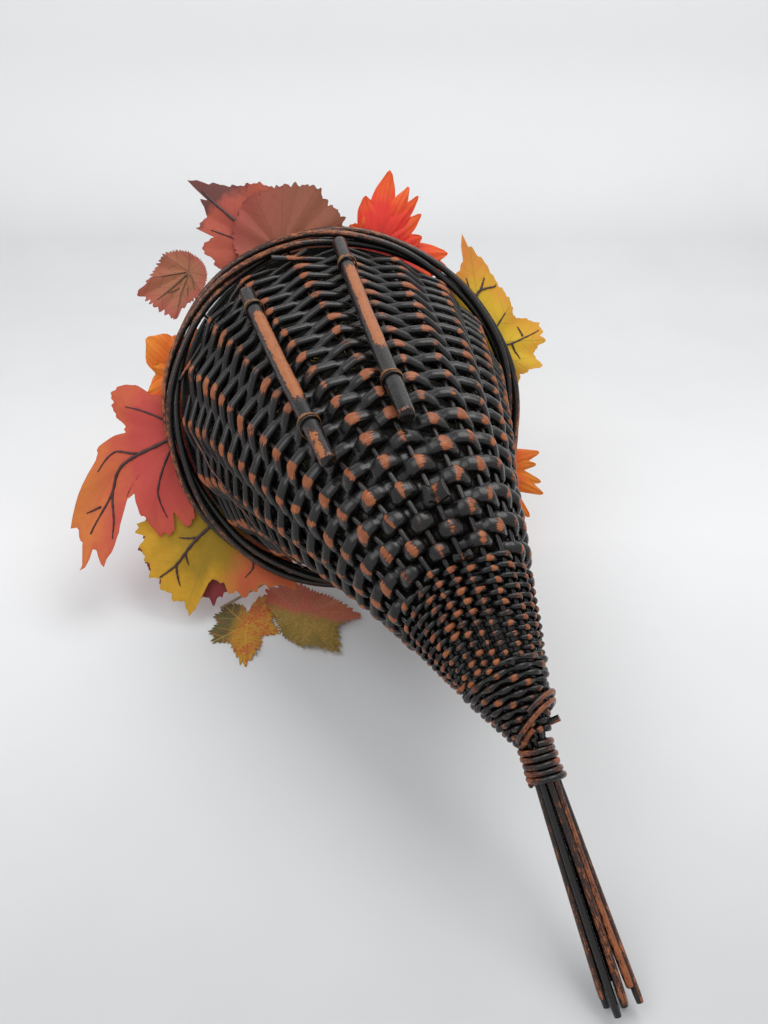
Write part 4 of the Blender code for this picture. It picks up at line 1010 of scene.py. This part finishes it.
ribFinish = ribPlastic("leafRibPlastic", (0.030, 0.010, 0.011), (0.085, 0.032, 0.030))
ribBrown = ribPlastic("leafRibBrown", (0.090, 0.045, 0.022), (0.17, 0.085, 0.040))
cloths = {
    "rust": leafCloth(
        "rustCloth", (0.31, 0.095, 0.052), (0.27, 0.085, 0.042), (0.36, 0.072, 0.052), (0.15, 0.036, 0.028),
        (0.17, 0.045, 0.030), lean=(-1.0, 0.2), leaned=(0.0, 0.6), veins=0.35),
    "red": leafCloth(
        "redCloth", (0.38, 0.066, 0.046), (0.45, 0.090, 0.048), (0.125, 0.036, 0.028), (0.15, 0.028, 0.026),
        (0.24, 0.042, 0.034), lean=(0.10, 1.0), leaned=(0.60, 0.68), veins=0.25),
    "wine": leafCloth(
        "wineCloth", (0.30, 0.045, 0.050), (0.26, 0.035, 0.040), (0.36, 0.060, 0.060), (0.13, 0.02, 0.025),
        (0.15, 0.025, 0.030), veins=0.5),
    "brown": leafCloth(
        "brownCloth", (0.36, 0.130, 0.062), (0.42, 0.100, 0.068), (0.30, 0.110, 0.045), (0.15, 0.050, 0.034),
        (0.26, 0.070, 0.045), reach=(0.5, 1.0), veins=0.7),
    "coral": leafCloth(
        "coralCloth", (0.58, 0.075, 0.060), (0.64, 0.110, 0.058), (0.78, 0.290, 0.030), (0.20, 0.030, 0.032),
        (0.44, 0.045, 0.040), reach=(0.7, 1.15), lean=(0.72, 0.52), leaned=(0.26, 0.80), veins=0.12),
    "amber": leafCloth(
        "amberCloth", (0.74, 0.46, 0.026), (0.76, 0.33, 0.034), (0.78, 0.23, 0.050), (0.34, 0.31, 0.030),
        (0.66, 0.40, 0.028), reach=(0.6, 1.05), lean=(-0.8, 0.8), leaned=(0.50, 1.00), veins=0.60),
    # painted shade: the base, a dark brown on the inner half of this leaf by the ring, stands in for the shade that
    # falls there; the far colour keeps the leaf's gold at the tips
    "gold": leafCloth(
        "goldClothPaintedShade", (0.40, 0.235, 0.014), (0.70, 0.36, 0.022), (0.66, 0.130, 0.050), (0.24, 0.22, 0.020),
        (0.42, 0.25, 0.020), reach=(0.5, 1.0), lean=(-1.0, -0.1), leaned=(0.10, 0.36), veins=0.35),
    "olive": leafCloth(
        "oliveCloth", (0.58, 0.29, 0.024), (0.52, 0.27, 0.024), (0.105, 0.105, 0.030), (0.66, 0.42, 0.055),
        (0.26, 0.17, 0.030), reach=(0.45, 1.0), lean=(0.9, -0.3), leaned=(-0.34, -0.18), glitter=0.35,
        fleck=(0.58, 0.070, 0.032), veins=0.85),
    "russet": leafCloth(
        "russetCloth", (0.30, 0.20, 0.028), (0.22, 0.150, 0.028), (0.50, 0.105, 0.070), (0.24, 0.14, 0.03),
        (0.28, 0.15, 0.035), reach=(0.5, 1.0), lean=(-1.0, 0.1), leaned=(-0.02, 0.10), glitter=0.5,
        fleck=(0.46, 0.26, 0.050), veins=0.5),
}
leaves = {
    "leafTopGrape": {
        "size": 0.74, "at": (-0.03, 1.00, 22, 0), "cloth": "rust",
        "slot": "rust_cloth", "cup": -0.06, "fold": 0.07, "wave": 0.030, "curl": 0.03, "seed": 1.0,
        "teeth": (50, 0.045), "veins": (-60, -28, 0, 28, 60, 110, -110)},
    "leafTopMaple": {
        "size": 1.00, "at": (-0.08, 1.02, -28, 1), "cloth": "red",
        "slot": "red_cloth", "cup": -0.05, "fold": 0.05, "wave": 0.035, "curl": 0.12, "seed": 2.2,
        "veins": (-2, -26, 36, -60, 80)},
    "leafLeftGrape": {
        "size": 0.60, "at": (-0.60, 1.05, -108, 0), "cloth": "brown",
        "slot": "wine_cloth", "cup": -0.06, "fold": 0.08, "wave": 0.040, "curl": 0.05, "seed": 0.4,
        "teeth": (52, 0.10), "rib": 0.0011, "veins": (-8, -38, 24, 70, -80, 130)},
    "leafRightMaple": {
        "size": 1.02, "at": (0.94, 0.12, 42, 0), "cloth": "amber",
        "slot": "amber_cloth", "cup": -0.05, "fold": 0.04, "wave": 0.040, "curl": -0.05, "seed": 3.7,
        "veins": (-32, 12, 64, 100, -80), "pole": (0.11, 0.01)},
    "leafLeftMaple": {
        "size": 1.36, "at": (-0.98, 0.18, -122, 0), "cloth": "coral",
        "slot": "coral_cloth", "cup": -0.03, "fold": 0.03, "wave": 0.030, "curl": -0.03, "seed": 5.1,
        "veins": (20, -18, 80, -60), "swing": -18.0},
    "leafLowMaple": {
        "size": 1.00, "at": (-0.94, -0.38, -139, 1), "cloth": "gold",
        "slot": "amber_cloth", "cup": -0.03, "fold": 0.03, "wave": 0.018, "curl": -0.02, "seed": 0.9,
        "veins": (25, -52, 0)},
    "leafLowRed": {
        "size": 1.00, "at": (-0.94, -0.32, -128, 3), "cloth": "wine",
        "slot": "wine_cloth", "cup": 0.00, "fold": 0.02, "wave": 0.010, "curl": 0.02, "seed": 0.9,
        "teeth": (70, 0.06), "veins": (25, -52, 0)},
    "leafSmallLeft": {
        "size": 0.04 / 0.06, "flat": (-1.14, 0.640, 190, 0),
        "cloth": "olive", "slot": "olive_cloth", "cup": 0.07, "fold": 0.10, "wave": 0.05, "curl": 0.05, "seed": 1.7,
        "clear": -0.0001, "pole": (-0.30, 0.38), "teeth": (56, 0.16), "veins": (4, 62, -60, -150, 147)},
    "leafSmallRight": {
        "size": 0.046 / 0.06, "flat": (-0.90, 0.610, 122, 1),
        "cloth": "russet", "slot": "olive_cloth", "cup": 0.10, "fold": 0.10, "wave": 0.06, "curl": 0.05,
        "seed": 2.9, "clear": 0.0, "pole": (-0.02, 0.50), "teeth": (54, 0.12), "veins": (-8, 44, 90, -60, -140)},
}
for name, leaf in leaves.items():
    spot = spotOf(leaf)
    made, ribs, flat, area = leafSheet(name, leaf["size"] * wreath["leaf"], spot, leaf)
    keep(made, cloths[leaf["cloth"]], leaf["slot"], nodeOf(name))
    if ribs:
        keep(ribs, ribBrown if name == "leafLeftGrape" else ribFinish, leaf["slot"])
    min(area, 0.999 * flat[0] * flat[1])
print("leaves done")


def petalCloth(name, heart, middle, tip):
    made = Finish(name)
    away, vary = made.spread("off"), made.spread("edge")
    blotch, grain, threads = made.noise(120.0, 3.0, 0.6), made.noise(600.0, 3.0, 0.6), made.noise(2600.0, 2.0, 0.6)
    off = made.node("ShaderNodeSeparateXYZ", {}, {0: made.map}, "Y")
    colour = made.mix((away + (blotch - 0.5) * 0.35).step(0.05, 0.45), heart, middle)
    colour = made.mix((away + (blotch - 0.5) * 0.5 + (vary - 0.5) * 0.3).step(0.55, 1.05), colour, tip)
    colour = made.mix(grain.step(0.55, 0.8) * 0.3, colour, heart)
    # painted shade: dark stripes along the petal's pleats are mixed towards the heart colour; the same stripes also
    # sink the pleats in the bump
    pleatShadeAndGroove = 1.0 - (off + (blotch - 0.5) * 0.20).maths("PINGPONG", 0.13).step(0.0, 0.10)
    made.sets(Base_Color=made.mix(pleatShadeAndGroove * 0.22, colour, heart), Roughness=0.58 + (grain - 0.5) * 0.2,
              Sheen_Weight=0.08, Sheen_Roughness=0.5, Specular_IOR_Level=0.3)
    made.bump(threads * 0.25 + grain * 0.3 - pleatShadeAndGroove * 0.4, 0.0003, 0.7)
    return made.material


def blossom(name, spot, radius, outer, rounds, seed, blunt=0.0):
    # outer petals as they show, turn and reach each, then fuller rounds inside them
    rolls = np.random.default_rng(seed)
    verts, faces, spots, offs, varies = [], [], [], [], []
    along, crosswise = np.linspace(0.0, 1.0, 17), np.linspace(-1.0, 1.0, 11)
    turns, reaches = np.array(outer)[:, 0], np.array(outer)[:, 1]
    petals = [(turn, reach, width, *outerForm) for turn, reach, width in outer]
    for layer, (count, size, width, lift, curl, base) in enumerate(rounds):
        for turn in (np.arange(count) + 0.5 * (layer % 2)) * 360 / count + rolls.uniform(-8, 8, count):
            turn = (turn + 180) % 360 - 180
            petals.append((turn, size * np.interp(turn, turns, reaches, period=360) ** 0.5 * rolls.uniform(0.88, 1.02),
                           width * rolls.uniform(0.9, 1.1), lift, curl, base))
    for index, (turn, size, width, lift, curl, base) in enumerate(petals):
        turn, length, spread = math.radians(turn), radius * size, width * radius
        rise, twist, vary = lift * rolls.uniform(0.6, 1.4), rolls.uniform(-0.25, 0.25), rolls.random()
        bow, phase = rolls.uniform(-0.10, 0.10), rolls.uniform(0, 6.28)
        shape = through(((0.26,), (0.70,), (0.97,), (0.97,), (0.80 + 0.16 * blunt,), (0.54 + 0.32 * blunt,), (0.24,)),
                        along * 6)[:, 0]
        first = len(verts)
        for a, half in zip(along, shape):
            for w in crosswise:
                x = w * half * spread + bow * length * a * a
                y = a * length * (1 - 0.05 * w * w * a)
                z = base * radius + rise * radius * a ** 1.4 - curl * radius * a ** 3
                z += 0.30 * spread * w * w * half + twist * w * half * spread * a
                z += (0.045 * spread * math.cos(w * 7.5 + phase) * min(1.0, 3 * a)
                      + 0.02 * radius * math.sin(a * 7 + phase))
                verts.append((x * math.cos(turn) + y * math.sin(turn), y * math.cos(turn) - x * math.sin(turn),
                              max(z, 0.0)))
                offs.append(a)
                varies.append(vary)
        for i in range(len(along) - 1):
            for j in range(len(crosswise) - 1):
                a, b = first + i * len(crosswise) + j, first + (i + 1) * len(crosswise) + j
                faces.append((a, a + 1, b + 1, b))
                for v, w in ((i, j), (i, j + 1), (i + 1, j + 1), (i + 1, j)):
                    spots.append((along[v] * length * uvScale, crosswise[w] * shape[v] * spread * uvScale))
    made = build(name, spot(np.array(verts)), faces, spots, {"off": offs, "edge": varies})
    area = sum(p.area for p in made.data.polygons)
    thicken(made, petalThick)
    return made, area


outerForm = (0.06, 0.04, 0.0)          # lift, curl and base of a petal, as shares of the flower
innerRounds = ((13, 0.74, 0.15, 0.16, 0.04, 0.02), (11, 0.58, 0.14, 0.26, 0.02, 0.04), (9, 0.40, 0.12, 0.34, 0.0, 0.06))
flowers = {
    "flowerTop": {
        "at": (0.54, 0.83, 22, 2), "size": 1.08, "cloth": "scarlet", "seed": 5, "blunt": 0.4,
        "outer": ((-160, 0.90, 0.17), (-132, 0.84, 0.17), (-104, 0.72, 0.17), (-76, 0.56, 0.17), (-48, 0.46, 0.17),
        (-22, 0.46, 0.17), (-8, 0.72, 0.17), (4, 1.08, 0.17), (21, 0.97, 0.12), (30, 0.94, 0.10), (45, 0.79, 0.12),
        (66, 0.62, 0.17), (86, 0.90, 0.20), (98, 0.90, 0.20), (118, 0.84, 0.17), (146, 0.90, 0.17),
        (174, 0.94, 0.17))},
    "flowerLeft": {
        "at": (-0.80, 0.46, -30, 1), "size": 0.96, "cloth": "orange", "seed": 6,
        "blunt": 1.0, "outer": ((-164, 0.90, 0.17), (-136, 0.86, 0.17), (-108, 0.80, 0.16), (-84, 1.08, 0.17),
        (-73, 1.08, 0.16), (-55, 0.62, 0.22), (-32, 0.52, 0.20), (-4, 0.78, 0.26), (22, 0.60, 0.20),
        (50, 0.66, 0.17), (78, 0.80, 0.17), (106, 0.90, 0.17), (134, 0.92, 0.17), (168, 0.94, 0.17))},
    "flowerRight": {
        "at": (0.70, -0.62, 128, 0), "size": 0.96, "cloth": "orange", "seed": 7,
        "outer": ((-166, 0.90, 0.17), (-138, 0.88, 0.17), (-110, 0.80, 0.17), (-84, 0.70, 0.16), (-58, 0.62, 0.16),
        (-29, 0.86, 0.15), (-17, 0.78, 0.13), (-3, 0.88, 0.14), (7, 0.97, 0.14), (30, 0.98, 0.15), (54, 0.70, 0.16),
        (80, 0.76, 0.17), (108, 0.86, 0.17), (136, 0.90, 0.17), (166, 0.92, 0.17))},
    "flowerLow": {
        "flat": (0.05, 0.655, 200, 0), "size": 1.05, "cloth": "orange", "seed": 8,
        "outer": ((-160, 0.92, 0.17), (-130, 0.96, 0.17), (-100, 0.94, 0.17), (-74, 0.92, 0.16), (-48, 0.90, 0.16),
        (-24, 0.86, 0.16), (-2, 1.00, 0.15), (12, 1.04, 0.14), (28, 0.88, 0.15), (50, 0.86, 0.16), (76, 0.90, 0.16),
        (104, 0.94, 0.17), (134, 0.92, 0.17), (168, 0.94, 0.17))},
}
petalCloths = {
    "scarlet": petalCloth("scarletPetals", (0.46, 0.010, 0.006), (0.74, 0.026, 0.010), (0.84, 0.130, 0.010)),
    "orange": petalCloth("orangePetals", (0.60, 0.035, 0.006), (0.80, 0.13, 0.010), (0.86, 0.28, 0.022)),
}
for name, flower in flowers.items():
    made, area = blossom(name, spotOf(flower), flower["size"] * wreath["flower"], flower["outer"], innerRounds,
                         flower["seed"], flower.get("blunt", 0.0))
    keep(made, petalCloths[flower["cloth"]], flower["cloth"] + "_cloth", nodeOf(name))
    side = max(math.sqrt(area) * 1.02, 2 * flower["size"] * wreath["flower"])
    max(area, 0.301 * side * side)
print("flowers done")

# Ring and stems that carry the wreath
ringCane = lacqueredWillow("ringCane", rub=0.70, speckled=0.4)
stemDry = ribPlastic("dryStem", (0.16, 0.105, 0.055), (0.34, 0.25, 0.150))
for name, finish in (("wreath_ring", ringCane), ("stem_flower_low", stemDry), ("stem_small_leaves", stemDry)):
    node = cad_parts[name]
    node.data.materials.clear()
    node.data.materials.append(finish)

# Stage: the photograph's view, two soft lamps behind on the right, a white table
view = {"from": (-0.10324, -0.28397, 0.33101), "tilt": 52.0, "turn": -19.83, "lens": 28.125, "sensor": 36.0}
camera = bpy.data.objects.new("viewCamera", bpy.data.cameras.new("viewCamera"))
bpy.context.scene.collection.objects.link(camera)
camera.location = view["from"]
camera.rotation_euler = (math.radians(view["tilt"]), 0.0, math.radians(view["turn"]))
camera.data.lens, camera.data.sensor_width = view["lens"], view["sensor"]
bpy.context.scene.camera = camera

lamps = {
    "lampBack": {"at": (0.36, 0.18, 1.12), "size": (0.70, 0.70), "power": 5.2, "tint": (1.0, 0.985, 0.97)},
    "lampLeft": {"at": (-0.55, 0.05, 1.00), "size": (0.70, 0.60), "power": 2.6, "tint": (0.97, 0.98, 1.0)},
}
aim = Vector((0.02, 0.05, 0.05))
for name, lamp in lamps.items():
    made = bpy.data.objects.new(name, bpy.data.lights.new(name, "AREA"))
    bpy.context.scene.collection.objects.link(made)
    made.data.shape = "RECTANGLE"
    made.data.size, made.data.size_y = lamp["size"]
    made.data.energy, made.data.color = lamp["power"], lamp["tint"]
    made.location = lamp["at"]
    made.rotation_euler = (aim - Vector(lamp["at"])).to_track_quat("-Z", "Y").to_euler()

room = bpy.data.worlds.new("room")
bpy.context.scene.world = room
room.use_nodes = True
room.node_tree.nodes["Background"].inputs["Color"].default_value = (0.95, 0.97, 1.0, 1.0)
room.node_tree.nodes["Background"].inputs["Strength"].default_value = 0.62

sweep = {"ahead": 0.78, "wide": 2.4, "near": -0.9, "curve": 0.20, "height": 1.5, "steps": 16}
forward = np.array([-math.sin(math.radians(view["turn"])), math.cos(math.radians(view["turn"])), 0.0])
sideways = np.array([forward[1], -forward[0], 0.0])
foot = np.array([view["from"][0], view["from"][1], 0.0])
bend = np.linspace(0.0, math.pi / 2, sweep["steps"])
profile = [(sweep["near"], 0.0), (0.0, 0.0)] + [
    (sweep["ahead"] + sweep["curve"] * math.sin(t), sweep["curve"] * (1 - math.cos(t))) for t in bend]
profile.append((sweep["ahead"] + sweep["curve"], sweep["height"]))
verts = [foot + forward * run + sideways * side * sweep["wide"] + np.array([0.0, 0.0, up])
         for run, up in profile for side in (-1, 1)]
faces = [(2 * a, 2 * a + 1, 2 * b + 1, 2 * b) for a, b in steps(len(profile))]
table = build("tableSweep", verts, faces, smooth=True)
tableFinish = Finish("tableWhite", 0.55)
mottle = tableFinish.noise(9.0, 4.0, 0.55)
ahead = tableFinish.node("ShaderNodeVectorMath", {"operation": "DOT_PRODUCT"},
                         {0: tableFinish.place, 1: tuple(forward)}, "Value") - float(foot @ forward)
# painted light and shade: the table's whiteness is stepped by distance from the camera, darker near and far and bright
# at the top of the wall, standing in for how the lamps fall
paintedFloorLight = tableFinish.ramp(ahead, [(at, (white * 0.995, white, white * 1.0)) for at, white in (
    (0.12, 0.61), (0.24, 0.76), (0.40, 0.84), (0.62, 0.71), (0.88, 0.67), (0.985, 0.95))])
tableFinish.set("Base Color", tableFinish.mix((mottle - 0.5) * 0.25 + 0.12, paintedFloorLight, (1.0, 1.0, 1.0)))
tableFinish.set("Specular IOR Level", 0.25)
table.data.materials.append(tableFinish.material)
print("stage set")
